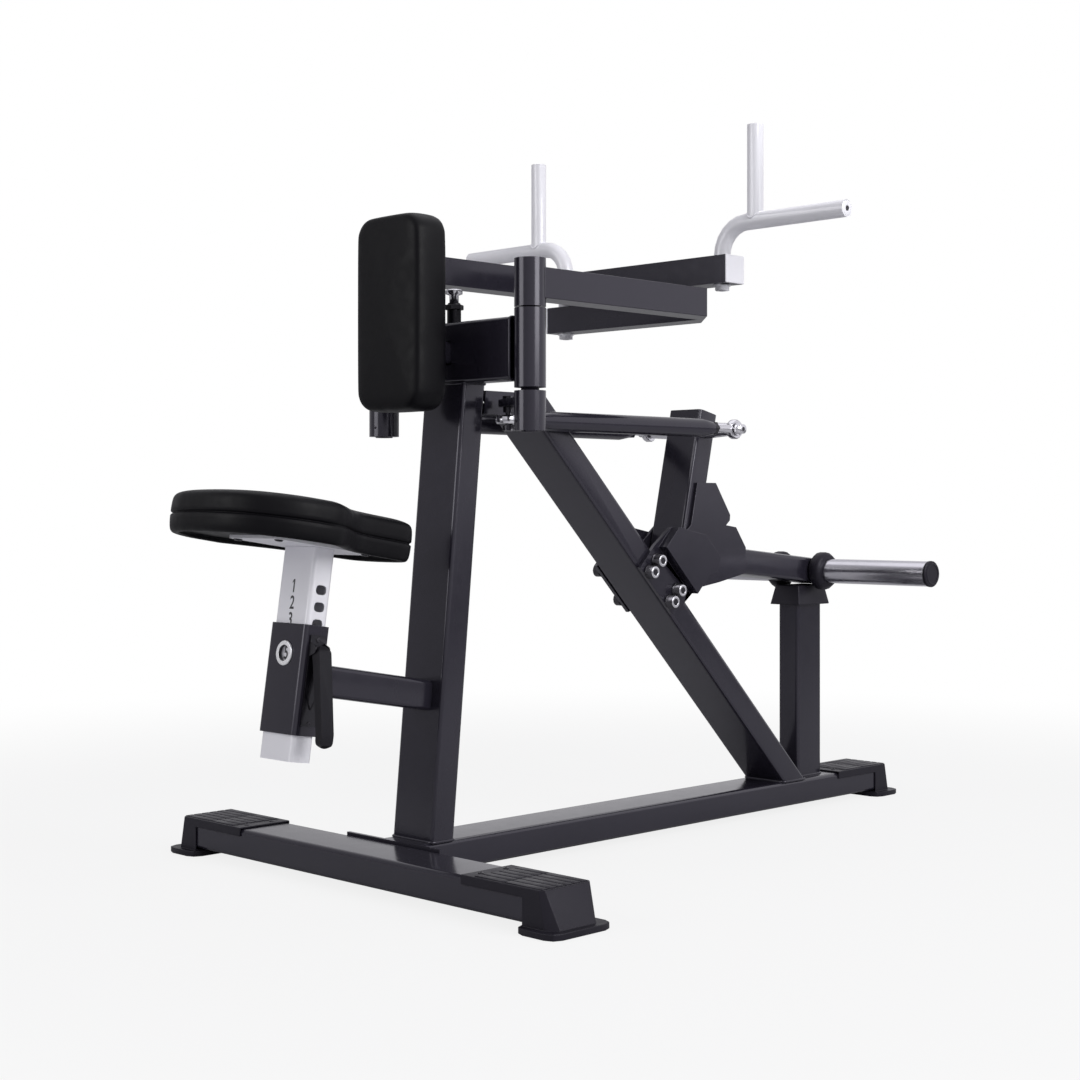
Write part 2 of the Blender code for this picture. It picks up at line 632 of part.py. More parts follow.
def build_arm(name, side, level):
    """Make one arm: its post, tube, plug, handle and crank. side is the post's side, -1 or 1."""
    post = place(BRACKET_X, side * POST_SPREAD, 0)
    middle = level + ARM_TUBE / 2
    mirrored = [(x, -side * y) for x, y in arm_outline()]
    arm = plate(f"arm_tube_{name}", [mirrored], ARM_TUBE, post @ place(0, 0, middle), FRAME_BLACK)
    hollow = [(x, -side * y) for x, y in arm_outline(TUBE_WALL, 0.02)]
    cut(arm, plate("hollow", [hollow], ARM_TUBE - 2 * TUBE_WALL, post @ place(0, 0, middle), FRAME_BLACK))
    base = post.to_translation()
    cut_bore(arm, POST_RADIUS + SEAT_GAP, (base.x, base.y, level - 0.05), (base.x, base.y, level + 0.1))
    arm_x = ARM_REACH - ARM_TUBE / 2 + BRACKET_X
    handle_y = -side * HANDLE_Y
    cut_bore(arm, STUD_RADIUS + SEAT_GAP, (arm_x, handle_y, level - LARGE), (arm_x, handle_y, level + LARGE),
             SMALL_STEPS)
    plug_y = -side * (ARM_TIP_Y + SEAT_GAP + PLUG_THICKNESS / 2)
    plug = block(f"arm_plug_{name}", (ARM_TUBE, PLUG_THICKNESS, ARM_TUBE), place(arm_x, plug_y, middle),
                 SILVER, 0.0015)
    inner = ARM_TUBE - 2 * TUBE_WALL - 2 * SEAT_GAP
    weld(plug, block("spigot", (inner, 0.012, inner), place(arm_x, plug_y + side * 0.006, middle), SILVER))
    collar_low, collar_high = level - COLLAR_BELOW, level + ARM_TUBE + COLLAR_ABOVE
    profile = [(0, CRANK_BOTTOM - 0.002), (SHAFT_RADIUS, CRANK_BOTTOM - 0.002), (SHAFT_RADIUS, collar_low),
               (POST_RADIUS, collar_low), (POST_RADIUS, collar_high), (0, collar_high)]
    turned(f"arm_post_{name}", profile, post, FRAME_BLACK)
    build_handle("left" if side < 0 else "right", -side, arm_x, level)
    build_crank(name, side, post)


def build_handle(name, side, x, level):
    """Make a handle: a bent tube with an upright grip, its stud, washer and nut."""
    start = level + ARM_TUBE + SEAT_GAP
    path = [(x, side * HANDLE_Y, start)]
    centre_y, centre_z = HANDLE_Y + HANDLE_BEND, GRIP_Z - HANDLE_BEND
    path += [(x, side * y, z) for y, z in arc(centre_y, centre_z, HANDLE_BEND, 180, 90, 6)]
    path.append((x, side * GRIP_END_Y, GRIP_Z))
    handle = bent_tube(f"handle_{name}", path, HANDLE_RADIUS, SILVER, 4)
    grip_length = UPRIGHT_GRIP_TOP - GRIP_Z
    weld(handle, cylinder("grip", UPRIGHT_GRIP_RADIUS, grip_length,
                          place(x, side * UPRIGHT_GRIP_Y, GRIP_Z), SILVER, 16))
    foot = place(x, side * HANDLE_Y, 0)
    low = level - SEAT_GAP
    bottom = low - WASHER_THICKNESS - NUT_HEIGHT
    stud = turned("stud", [(0, bottom), (STUD_RADIUS, bottom), (STUD_RADIUS, start + 0.01), (0, start + 0.01)],
                  foot, CHROME, SMALL_STEPS)
    weld(handle, stud)
    profile = [(0, low - WASHER_THICKNESS), (WASHER_RADIUS, low - WASHER_THICKNESS),
               (WASHER_RADIUS, low), (0, low)]
    weld(handle, turned("washer", profile, foot, CHROME, SMALL_STEPS))
    nut = cylinder("nut", FOOT_NUT_RADIUS, NUT_HEIGHT, foot @ place(0, 0, bottom + 0.001), CHROME, 6)
    weld(handle, nut)
    return handle


def build_crank(name, side, post):
    """Make the crank clamped on the lower end of a post, and the bolt that drives its tie rod."""
    profile = [(0, CRANK_TOP), (POST_RADIUS, CRANK_TOP), (POST_RADIUS, CRANK_BOTTOM), (0, CRANK_BOTTOM)]
    crank = turned(f"crank_{name}", profile, post, FRAME_BLACK)
    swung = post @ turn(-side * CRANK_ANGLE, "Z")
    lever_length = CRANK_ARM - POST_RADIUS * 0.8
    centre = CRANK_ARM - lever_length / 2
    lever = plate("lever", [rounded(lever_length + LEVER_WIDTH, LEVER_WIDTH, 0.012)], LEVER_THICKNESS,
                  swung @ place(centre, 0, LEVER_TOP - LEVER_THICKNESS / 2), FRAME_BLACK)
    weld(crank, lever)
    world = swung @ Vector((CRANK_ARM, 0, 0))
    cut_bore(crank, SHAFT_RADIUS + SEAT_GAP, (post.translation.x, post.translation.y, CRANK_BOTTOM - 0.01),
             (post.translation.x, post.translation.y, CRANK_TOP + 0.01))
    cut_bore(crank, STUD_RADIUS + SEAT_GAP, (world.x, world.y, -LARGE), (world.x, world.y, LARGE), SMALL_STEPS)
    under = LEVER_TOP - LEVER_THICKNESS - SEAT_GAP
    shoulder = ROD_Z + EYE_THICKNESS / 2 + ROD_EYE_RISE
    low = ROD_Z - EYE_THICKNESS / 2 - 0.003
    profile = [(0, low - NUT_HEIGHT), (NUT_RADIUS, low - NUT_HEIGHT), (NUT_RADIUS, low), (STUD_RADIUS, low),
               (STUD_RADIUS, shoulder), (0.010, shoulder), (0.010, under), (STUD_RADIUS, under),
               (STUD_RADIUS, LEVER_TOP + SEAT_GAP), (NUT_RADIUS, LEVER_TOP + SEAT_GAP),
               (NUT_RADIUS, LEVER_TOP + 0.006), (0, LEVER_TOP + 0.006)]
    turned(f"crank_bolt_{name}", profile, place(world.x, world.y, 0), FRAME_BLACK, SMALL_STEPS)


def crank_pin(side):
    """Return where a crank's bolt stands, in plan."""
    return place(BRACKET_X, side * POST_SPREAD, 0) @ turn(-side * CRANK_ANGLE, "Z") @ Vector((CRANK_ARM, 0, 0))


def rocker_frame():
    """Return the rocker's frame: at its pivot, +Z up along its tube."""
    return leaning(PIVOT_X, PIVOT_Z, ROCKER_LEAN)


def horn_frame():
    """Return the horn arm's frame: at its pivot, +X out along the arm's centre line."""
    return leaning(PIVOT_X, PIVOT_Z + HORN_ARM_RISE, HORN_ARM_SLOPE)


def build_rocker():
    """Make the rocker's tube, hub, side plates and rod axle."""
    length = ROCKER_TOP + ROCKER_BELOW
    frame = rocker_frame()
    axle = frame @ Vector((0, 0, ROD_AXLE_UP))
    rocker = capped_tube("rocker_tube", ROCKER_DEPTH, ROCKER_WIDTH, length,
                         frame @ place(0, 0, ROCKER_TOP - length / 2), FRAME_BLACK)
    cut_bore(rocker, HUB_RADIUS + SEAT_GAP, (PIVOT_X, -ROCKER_WIDTH, PIVOT_Z), (PIVOT_X, ROCKER_WIDTH, PIVOT_Z))
    cut_bore(rocker, AXLE_RADIUS + SEAT_GAP, (axle.x, -ROCKER_WIDTH, axle.z), (axle.x, ROCKER_WIDTH, axle.z),
             SMALL_STEPS)
    bore = PIVOT_SHAFT_RADIUS + SHAFT_CLEARANCE
    profile = [(0, -HUB_REACH), (HUB_RADIUS, -HUB_REACH), (HUB_RADIUS, HUB_REACH), (0, HUB_REACH)]
    hub = turned("rocker_hub", profile, place(PIVOT_X, 0, PIVOT_Z) @ ALONG_Y, FRAME_BLACK)
    for side in (-1, 1):
        middle = side * (ROCKER_WIDTH / 2 + SEAT_GAP + ROCKER_PLATE / 2)
        side_plate = plate("side_plate", [rocker_plate_outline()], ROCKER_PLATE,
                           place(0, middle, 0) @ SIDE_VIEW, FRAME_BLACK)
        weld(hub, side_plate)
    cut_bore(hub, bore, (PIVOT_X, -LARGE, PIVOT_Z), (PIVOT_X, LARGE, PIVOT_Z))
    build_rod_axle(axle)


def rocker_plate_outline():
    """Return the stepped outline (x, z) of the plates that join the rocker tube and the horn arm."""
    lean = math.tan(math.radians(ROCKER_LEAN))
    back = PIVOT_X - ROCKER_PLATE_BACK
    low, high = ROCKER_PLATE_ROUND + 0.014, ROCKER_PLATE_TOP
    top = PIVOT_Z + high
    outline = [(back + low * lean, PIVOT_Z + low), (back + high * lean, top),
               (PIVOT_X + 0.077, top), (PIVOT_X + 0.120, PIVOT_Z + 0.089),
               (PIVOT_X + 0.119, PIVOT_Z + 0.078), (PIVOT_X + 0.108, PIVOT_Z + 0.069),
               (PIVOT_X + 0.138, PIVOT_Z + 0.065), (PIVOT_X + 0.168, PIVOT_Z + 0.025),
               (PIVOT_X + 0.168, PIVOT_Z - 0.025), (PIVOT_X + 0.088, PIVOT_Z - 0.040)]
    return outline + arc(PIVOT_X, PIVOT_Z, ROCKER_PLATE_ROUND, -60, -215, 10)


def build_rod_axle(axle):
    """Make the bolt that carries both tie rods' front eyes, with its spacers and ends."""
    half = ROCKER_WIDTH / 2 + SEAT_GAP
    eye_in = ROD_AXLE_Y - EYE_THICKNESS / 2 - 0.001
    eye_out = ROD_AXLE_Y + EYE_THICKNESS / 2 + 0.001
    side = [(AXLE_RADIUS, half), (0.016, half), (0.012, eye_in), (AXLE_RADIUS, eye_in), (AXLE_RADIUS, eye_out),
            (0.0125, eye_out), (0.0125, eye_out + 0.003), (0.009, eye_out + 0.003), (0.009, eye_out + 0.014),
            (0, eye_out + 0.014)]
    profile = [(r, -y) for r, y in reversed(side)] + side
    turned("rod_axle", profile, place(axle.x, 0, axle.z) @ ALONG_Y, CHROME, SMALL_STEPS)


def build_bearing_bracket(name, side):
    """Make a bearing bracket: a plate bolted on the diagonal's side, with a raised housing."""
    along = turn(45, "Y")
    foot = Vector((PIVOT_X, 0, PIVOT_Z))
    rise = foot.x + foot.z - DIAGONAL_FOOT_X - BASE_TOP
    rise /= math.sqrt(2)
    frame = Matrix.Translation(foot) @ along @ place(0, 0, -rise)
    half = DIAGONAL_DEPTH / 2
    outline = [(-0.104, -half), (0.022, -half), (0.032, 0.012), (0.032, rise), (0.046, rise + 0.02),
               (0.030, rise + 0.045), (-0.030, rise + 0.045), (-0.095, rise), (-0.104, half + 0.006)]
    middle = side * (PLATE_INNER + BRACKET_PLATE / 2)
    bracket = plate(name, [outline], BRACKET_PLATE, frame @ place(0, middle, 0) @ SIDE_VIEW, FRAME_BLACK)
    housing = [(-0.094, half + 0.012), (0.031, half + 0.012), (0.031, rise), (0.044, rise + 0.02),
               (0.029, rise + 0.044), (-0.029, rise + 0.044), (-0.094, rise)]
    middle = side * (PLATE_OUTER + HOUSING_PROUD / 2 - 0.001)
    raised = plate("housing", [housing], HOUSING_PROUD + 0.002,
                   frame @ place(0, middle, 0) @ SIDE_VIEW, FRAME_BLACK)
    slope = math.degrees(math.atan2(0.028, HOUSING_PROUD))
    size = (0.4, 0.1, 0.1)
    ramp = frame @ place(0, side * PLATE_OUTER, half + 0.012) @ turn(-side * slope, "X") @ place(0, 0, -0.05)
    cut(raised, block("ramp", size, ramp, FRAME_BLACK))
    weld(bracket, raised)
    cut_bore(bracket, PIVOT_SHAFT_RADIUS + SEAT_GAP, (PIVOT_X, 0, PIVOT_Z),
             (PIVOT_X, side * (PIVOT_SHAFT_REACH + SEAT_GAP), PIVOT_Z))
    for row in BOLT_ROWS:
        for offset in (-BOLT_SPREAD, BOLT_SPREAD):
            at = frame @ Vector((row, 0, offset))
            cut_bore(bracket, BOLT_RADIUS + SEAT_GAP, (at.x, -LARGE, at.z), (at.x, LARGE, at.z), SMALL_STEPS)
    return frame


def build_bearing():
    """Make both bearing brackets, the pivot shaft and the bolts through the diagonal."""
    frame = build_bearing_bracket("bearing_bracket_right", -1)
    build_bearing_bracket("bearing_bracket_left", 1)
    cylinder("pivot_shaft", PIVOT_SHAFT_RADIUS, 2 * PIVOT_SHAFT_REACH,
             place(PIVOT_X, -PIVOT_SHAFT_REACH, PIVOT_Z) @ ALONG_Y, CHROME)
    diagonal = bpy.data.objects["diagonal_beam"]
    number = 0
    for row in BOLT_ROWS:
        for offset in (-BOLT_SPREAD, BOLT_SPREAD):
            number += 1
            at = frame @ Vector((row, 0, offset))
            cut_bore(diagonal, BOLT_RADIUS + SEAT_GAP, (at.x, -LARGE, at.z), (at.x, LARGE, at.z), SMALL_STEPS)
            seat = PLATE_OUTER + SEAT_GAP
            socket = BOLT_RADIUS * 0.8
            profile = [(0, seat + 0.007), (socket, seat + 0.007), (socket, seat + BOLT_HEAD_HEIGHT),
                       (BOLT_HEAD_RADIUS, seat + BOLT_HEAD_HEIGHT), (BOLT_HEAD_RADIUS, seat + 0.0025),
                       (BOLT_WASHER_RADIUS, seat + 0.0025), (BOLT_WASHER_RADIUS, seat),
                       (BOLT_RADIUS, seat), (BOLT_RADIUS, -seat),
                       (BOLT_HEAD_RADIUS, -seat), (BOLT_HEAD_RADIUS, -seat - 0.013), (0, -seat - 0.013)]
            turned(f"bracket_bolt_{number}", profile, place(at.x, 0, at.z) @ turn(90, "X"),
                   FRAME_BLACK, SMALL_STEPS)


def build_horns():
    """Make the horn arm with the cross bar that holds the weights, its collars and caps."""
    frame = horn_frame()
    length = HORN_ARM_END - HORN_ARM_START
    lying = frame @ place(HORN_ARM_START + length / 2, 0, 0) @ turn(90, "Y")
    arm = capped_tube("horn_arm", HORN_ARM_HEIGHT, HORN_ARM_WIDTH, length, lying, FRAME_BLACK)
    bar = frame @ Vector((HORN_ALONG, 0, 0))
    cut_bore(arm, HORN_RADIUS - 0.004, (bar.x, -LARGE, bar.z), (bar.x, LARGE, bar.z))
    half = HORN_ARM_WIDTH / 2 + SEAT_GAP
    root = HORN_RADIUS - 0.004 - SEAT_GAP
    side = [(root, half), (HORN_RADIUS, half), (HORN_RADIUS, HORN_REACH), (0.008, HORN_REACH),
            (0.008, HORN_REACH - 0.006), (0, HORN_REACH - 0.006)]
    profile = [(r, -y) for r, y in reversed(side)] + side
    turned("horn_bar", profile, place(bar.x, 0, bar.z) @ ALONG_Y, CHROME)
    inner, outer = HORN_RADIUS + SEAT_GAP, HORN_COLLAR_RADIUS
    for name, way in (("right", -1), ("left", 1)):
        start, end = half + 0.0002, half + HORN_COLLAR_LENGTH
        ring = [(inner, start), (outer * 0.86, start), (outer, start + 0.006), (outer, end - 0.010),
                (outer * 0.80, end), (inner, end)]
        turned(f"horn_collar_{name}", [(r, way * y) for r, y in ring], place(bar.x, 0, bar.z) @ ALONG_Y, RUBBER)
        seat = HORN_REACH + SEAT_GAP
        cap = [(0, HORN_REACH - 0.005), (0.0075, HORN_REACH - 0.005), (0.0075, seat),
               (HORN_RADIUS + 0.001, seat), (HORN_RADIUS + 0.001, seat + HORN_CAP_LENGTH - 0.002),
               (HORN_RADIUS - 0.001, seat + HORN_CAP_LENGTH),
               (0, seat + HORN_CAP_LENGTH)]
        turned(f"horn_cap_{name}", [(r, way * y) for r, y in cap], place(bar.x, 0, bar.z) @ ALONG_Y, RUBBER)


def build_tie_rod(name, side):
    """Make a tie rod's tube and its two threaded eyes, from the crank's bolt to the rocker's axle."""
    axle = rocker_frame() @ Vector((0, 0, ROD_AXLE_UP))
    back = crank_pin(side)
    back.z = ROD_Z
    back.y -= side * ROD_EYE_OFFSET
    front = Vector((axle.x, side * ROD_AXLE_Y, axle.z))
    span = (front - back).length
    low, high = ROD_END_GAP, span - ROD_END_GAP
    socket = 0.0055
    profile = [(socket, low + 0.02), (socket, low), (ROD_TIP_RADIUS, low), (ROD_RADIUS, low + ROD_TAPER),
               (ROD_RADIUS, high - ROD_TAPER), (ROD_TIP_RADIUS, high), (socket, high), (socket, high - 0.02)]
    profile = [(0, low + 0.02)] + profile + [(0, high - 0.02)]
    turned(f"tie_rod_{name}", profile, aim(back, front), FRAME_BLACK, 16)
    build_rod_end(f"rear_eye_{name}", back, front, Vector((0, 0, 1)), CRANK_EYE_BORE)
    build_rod_end(f"front_eye_{name}", front, back, Vector((0, 1, 0)), AXLE_RADIUS + AXLE_CLEARANCE)


def build_rod_end(name, eye, other, axis, bore):
    """Make a rod end: an eye about an axis, a shank and a jam nut towards the other end."""
    along = (other - eye).normalized()
    half = EYE_THICKNESS / 2
    across = axis.cross(along).normalized()
    square = along.cross(across).normalized()
    turn_matrix = Matrix((along, across, square)).transposed().to_4x4()
    ring = [(0, half), (EYE_RADIUS - 0.002, half), (EYE_RADIUS, half - 0.003), (EYE_RADIUS, 0.003 - half),
            (EYE_RADIUS - 0.002, -half), (0, -half)]
    eye_matrix = Matrix.Translation(eye) @ turn_matrix
    end = turned(name, ring, eye_matrix, CHROME, 18)
    start = EYE_RADIUS - 0.003
    outward = eye_matrix @ place(start, 0, 0) @ turn(90, "Y")
    shank = cylinder("shank", 0.0052, ROD_END_GAP + 0.018 - start, outward, CHROME, 10)
    weld(end, shank)
    nut_at = ROD_END_GAP - SEAT_GAP - 0.008
    weld(end, cylinder("jam_nut", 0.0115, 0.008, eye_matrix @ place(nut_at, 0, 0) @ turn(90, "Y"), CHROME, 6))
    neck = cylinder("neck", 0.0085, nut_at - 0.008 - start, outward, CHROME, 10, 0.0065)
    weld(end, neck)
    cut_bore(end, bore, eye - square * 0.05, eye + square * 0.05, 18)


def seat_frame():
    """Return the seat's frame: at the sleeve's middle, +Z up the post."""
    return leaning(SLEEVE_X, SLEEVE_Z, SEAT_LEAN)


def post_depth():
    """Return the seat post's depth, from the sleeve that it slides in."""
    return SLEEVE_DEPTH - 2 * (SLEEVE_WALL + POST_CLEARANCE)


def post_width():
    """Return the seat post's width, from the sleeve that it slides in."""
    return SLEEVE_WIDTH - 2 * (SLEEVE_WALL + POST_CLEARANCE)


def build_seat_sleeve():
    """Make the sleeve with its window ring, and the arm that carries it."""
    frame = seat_frame()
    sleeve = tube("seat_sleeve", SLEEVE_DEPTH, SLEEVE_WIDTH, SLEEVE_LENGTH, frame, FRAME_BLACK, SLEEVE_WALL)
    window = frame @ place(-SLEEVE_DEPTH / 2, 0, WINDOW_UP) @ turn(-90, "Y")
    middle = window.translation
    back = frame.to_3x3() @ Vector((1, 0, 0))
    cut_bore(sleeve, WINDOW_RADIUS + SEAT_GAP, middle - back * 0.01, middle + back * 0.01)
    inner = WINDOW_RADIUS - 0.002
    ring = [(inner, RING_PROUD), (RING_RADIUS - 0.001, RING_PROUD), (RING_RADIUS, RING_PROUD - 0.001),
            (RING_RADIUS, SEAT_GAP), (WINDOW_RADIUS, SEAT_GAP), (WINDOW_RADIUS, 0.001 - SLEEVE_WALL),
            (inner, 0.001 - SLEEVE_WALL)]
    turned("window_ring", ring, window, CHROME)
    pin = frame @ Vector((0, 0, LOCK_PIN_UP))
    cut_bore(sleeve, LOCK_PIN_RADIUS + 2 * SEAT_GAP, (pin.x, -SLEEVE_WIDTH, pin.z), (pin.x, 0, pin.z),
             SMALL_STEPS)
    arm_frame = leaning(SEAT_ARM_X, SEAT_ARM_Z, SEAT_ARM_SLOPE)
    arm = tube("seat_arm_tube", SEAT_ARM_SIZE, SEAT_ARM_SIZE, 0.36, arm_frame @ turn(90, "Y"), FRAME_BLACK)
    far = 0.5
    sleeve_face = SLEEVE_DEPTH / 2 + SEAT_GAP
    cut(arm, block("end", (far, far, far), frame @ place(sleeve_face - far / 2, 0, 0), FRAME_BLACK))
    face = UPRIGHT_DEPTH / 2 + SEAT_GAP
    cut(arm, block("end", (far, far, 1.2), upright_frame() @ place(far / 2 - face, 0, 0.5), FRAME_BLACK))


def build_seat_post():
    """Make the sliding post with its adjustment holes, the seat plate and the cushion."""
    frame = seat_frame()
    length = POST_BELOW + POST_ABOVE
    post = tube("seat_post", post_depth(), post_width(), length,
                frame @ place(0, 0, POST_ABOVE - length / 2), SILVER, POST_WALL)
    for number in range(HOLE_COUNT):
        up = LOCK_PIN_UP + number * HOLE_PITCH
        slot = plate("slot", [rounded(HOLE_WIDTH, HOLE_HEIGHT, 0.0055)], 0.02,
                     frame @ place(0, -post_width() / 2, up) @ SIDE_VIEW, SILVER)
        cut(post, slot)
    top = POST_ABOVE + SEAT_GAP
    centre = (CUSHION_FRONT - CUSHION_BACK) / 2
    outline = rounded(SEAT_PLATE_LENGTH, SEAT_PLATE_WIDTH, 0.012)
    plate("seat_plate", [outline], SEAT_PLATE_THICKNESS,
          frame @ place(centre / 2, 0, top + SEAT_PLATE_THICKNESS / 2), SILVER)
    under = top + SEAT_PLATE_THICKNESS + SEAT_GAP
    rings = [(0, CUSHION_RIM_WIDTH), (0.002 - CUSHION_RIM, CUSHION_RIM_WIDTH), (-CUSHION_RIM, 0.009),
             (0.004 - CUSHION_RIM, 0.001), (0.0185, 0.0), (0.0215, 0.0040), (0.0245, 0.0),
             (0.044, 0.0005), (0.053, 0.005), (CUSHION_THICKNESS, 0.024)]
    padded("seat_cushion", cushion_outline(), rings, frame @ place(0, 0, under), UPHOLSTERY)


def cushion_outline():
    """Return the seat cushion's plan outline: wide and round at the back, narrow in front."""
    wide, narrow = CUSHION_HALF_WIDE, CUSHION_HALF_NARROW
    half = [(-CUSHION_BACK, 0), (-CUSHION_BACK + 0.005, wide * 0.38), (-CUSHION_BACK + 0.030, wide * 0.72),
            (-CUSHION_BACK + 0.080, wide * 0.95), (-0.092, wide), (-0.056, wide * 0.985),
            (-0.005, (wide + narrow) * 0.47), (0.035, narrow * 1.09), (0.085, narrow),
            (CUSHION_FRONT - 0.035, narrow * 0.95), (CUSHION_FRONT - 0.007, narrow * 0.68), (CUSHION_FRONT, 0)]
    control = half + [(x, -y) for x, y in reversed(half[1:-1])]
    return smooth_loop(control, 2)


def smooth_loop(control, steps):
    """Return points on a closed smooth curve through the control points."""
    count = len(control)
    points = []
    for i in range(count):
        a, b, c, d = (Vector(control[(i + k) % count]) for k in (-1, 0, 1, 2))
        for step in range(steps):
            t = step / steps
            point = 0.5 * (2 * b + (c - a) * t + (2 * a - 5 * b + 4 * c - d) * t ** 2
                           + (3 * b - a - 3 * c + d) * t ** 3)
            points.append((point.x, point.y))
    return points


def inset_loop(outline, inset):
    """Return an outline moved inwards by a distance, square to itself."""
    count = len(outline)
    area = sum(outline[i - 1][0] * outline[i][1] - outline[i][0] * outline[i - 1][1] for i in range(count))
    way = 1 if area > 0 else -1
    moved = []
    for i in range(count):
        before, after = Vector(outline[i - 1]), Vector(outline[(i + 1) % count])
        along = (after - before).normalized()
        moved.append(Vector(outline[i]) + way * inset * Vector((-along.y, along.x)))
    return moved


def padded(name, outline, rings, matrix, finish):
    """Make a cushion from an outline and (height, inset) rings, closed above and below."""
    work = bmesh.new()
    loops = []
    for height, inset in rings:
        loops.append([work.verts.new((p.x, p.y, height)) for p in inset_loop(outline, inset)])
    for lower, upper in zip(loops, loops[1:]):
        for i in range(len(lower)):
            work.faces.new((lower[i - 1], lower[i], upper[i], upper[i - 1]))
    for ends in (loops[0], loops[-1]):
        work.faces.new(ends)
    return add_object(name, mesh_from(name, work), matrix, finish, smooth=True)


def build_seat_lever():
    """Make the lever's base with its ears and pin, the lever and the lock pin."""
    frame = seat_frame()
    face = SLEEVE_WIDTH / 2 + SEAT_GAP
    axis_y = -(SLEEVE_WIDTH / 2 + LEVER_PIVOT_OUT)
    pin = frame @ Vector((0, 0, LOCK_PIN_UP))
    ear_x = LEVER_WIDTH_ACROSS / 2 + SEAT_GAP + EAR_THICKNESS / 2
    base_size = (2 * ear_x + EAR_THICKNESS, LEVER_BASE_THICKNESS, LEVER_BASE_LENGTH)
    base = block("lever_base", base_size, frame @ place(0, -face - LEVER_BASE_THICKNESS / 2, 0), FRAME_BLACK)
    across = turn(90, "Y") @ turn(90, "Z")   # outline (y, z), with its thickness along X
    for side in (-1, 1):
        outline = arc(axis_y, LEVER_PIVOT_UP, EAR_RADIUS, 100, 260, 6)
        outline += [(-face - 0.001, LEVER_PIVOT_UP - 0.012), (-face - 0.001, LEVER_PIVOT_UP + 0.012)]
        ear_at = frame @ place(side * ear_x, 0, 0) @ across
        weld(base, plate("ear", [outline], EAR_THICKNESS, ear_at, FRAME_BLACK))
    length = 2 * ear_x + EAR_THICKNESS
    at = frame @ place(-length / 2, axis_y, LEVER_PIVOT_UP) @ turn(90, "Y")
    weld(base, cylinder("pin", LEVER_PIVOT_RADIUS, length, at, FRAME_BLACK, SMALL_STEPS))
    cut_bore(base, LOCK_PIN_RADIUS + 2 * SEAT_GAP, (pin.x, -0.1, pin.z), (pin.x, 0, pin.z), SMALL_STEPS)
    end = LEVER_PIVOT_UP - LEVER_LENGTH
    profile = [(axis_y + 0.0045, LEVER_PIVOT_UP + 0.003), (axis_y + 0.001, LEVER_PIVOT_UP + 0.007),
               (axis_y - 0.007, LEVER_PIVOT_UP + 0.007), (axis_y - 0.013, LEVER_PIVOT_UP - 0.001),
               (axis_y - 0.042, end + 0.022), (axis_y - 0.042, end + 0.005), (axis_y - 0.036, end),
               (axis_y - 0.029, end + 0.005), (axis_y - 0.027, end + 0.022),
               (axis_y - 0.001, LEVER_PIVOT_UP - 0.022), (axis_y + 0.0045, LEVER_PIVOT_UP - 0.006)]
    lever = plate("seat_lever", [profile], LEVER_WIDTH_ACROSS, frame @ across, PLASTIC)
    centre = frame @ Vector((0, axis_y, LEVER_PIVOT_UP))
    side = frame.to_3x3() @ Vector((0.05, 0, 0))
    cut_bore(lever, LEVER_PIVOT_RADIUS + SHAFT_CLEARANCE, centre - side, centre + side, SMALL_STEPS)
    inner = -post_width() / 2 - POST_CLEARANCE
    cylinder("lock_pin", LOCK_PIN_RADIUS, SLEEVE_WIDTH / 2 + LOCK_PIN_REACH + inner,
             place(pin.x, inner, pin.z) @ turn(90, "X"), CHROME, SMALL_STEPS)


def build_chest_pad():
    """Make the chest pad and its carriage: a plate with a square tube that slides in the bracket."""
    front = CHEST_PAD_BACK_X + SEAT_GAP
    middle_z = (CHEST_PAD_BOTTOM + CHEST_PAD_TOP) / 2
    size = (CHEST_PLATE_THICKNESS, CHEST_PLATE_WIDTH, CHEST_PLATE_HEIGHT)
    start = front + CHEST_PLATE_THICKNESS / 2
    carriage = block("chest_carriage", size, place(start, 0, middle_z), FRAME_BLACK)
    lying = place(start + CHEST_TUBE_LENGTH / 2, 0, CHEST_TUBE_Z) @ turn(90, "Y")
    weld(carriage, tube("slide", CHEST_TUBE, CHEST_TUBE, CHEST_TUBE_LENGTH, lying, FRAME_BLACK))
    height = CHEST_PAD_TOP - CHEST_PAD_BOTTOM
    depth = CHEST_PAD_THICKNESS
    rings = [(0, 0.006), (0.005, 0), (depth - 0.012, 0), (depth - 0.003, 0.005), (depth, 0.018)]
    padded("chest_pad", rounded(height, CHEST_PAD_WIDTH, CHEST_PAD_CORNER, 5), rings,
           place(CHEST_PAD_BACK_X, 0, middle_z) @ turn(-90, "Y"), UPHOLSTERY)


def hang(name, location, nodes):
    """Put an empty on a joint's axis and make it the parent of the nodes that move with it."""
    pivot = bpy.data.objects.new(name, None)
    pivot.location = location
    pivot.empty_display_size = 0.03
    MACHINE.objects.link(pivot)
    bpy.context.view_layer.update()
    for node in nodes:
        obj = bpy.data.objects[node]
        obj.parent = pivot
        obj.matrix_parent_inverse = pivot.matrix_world.inverted()


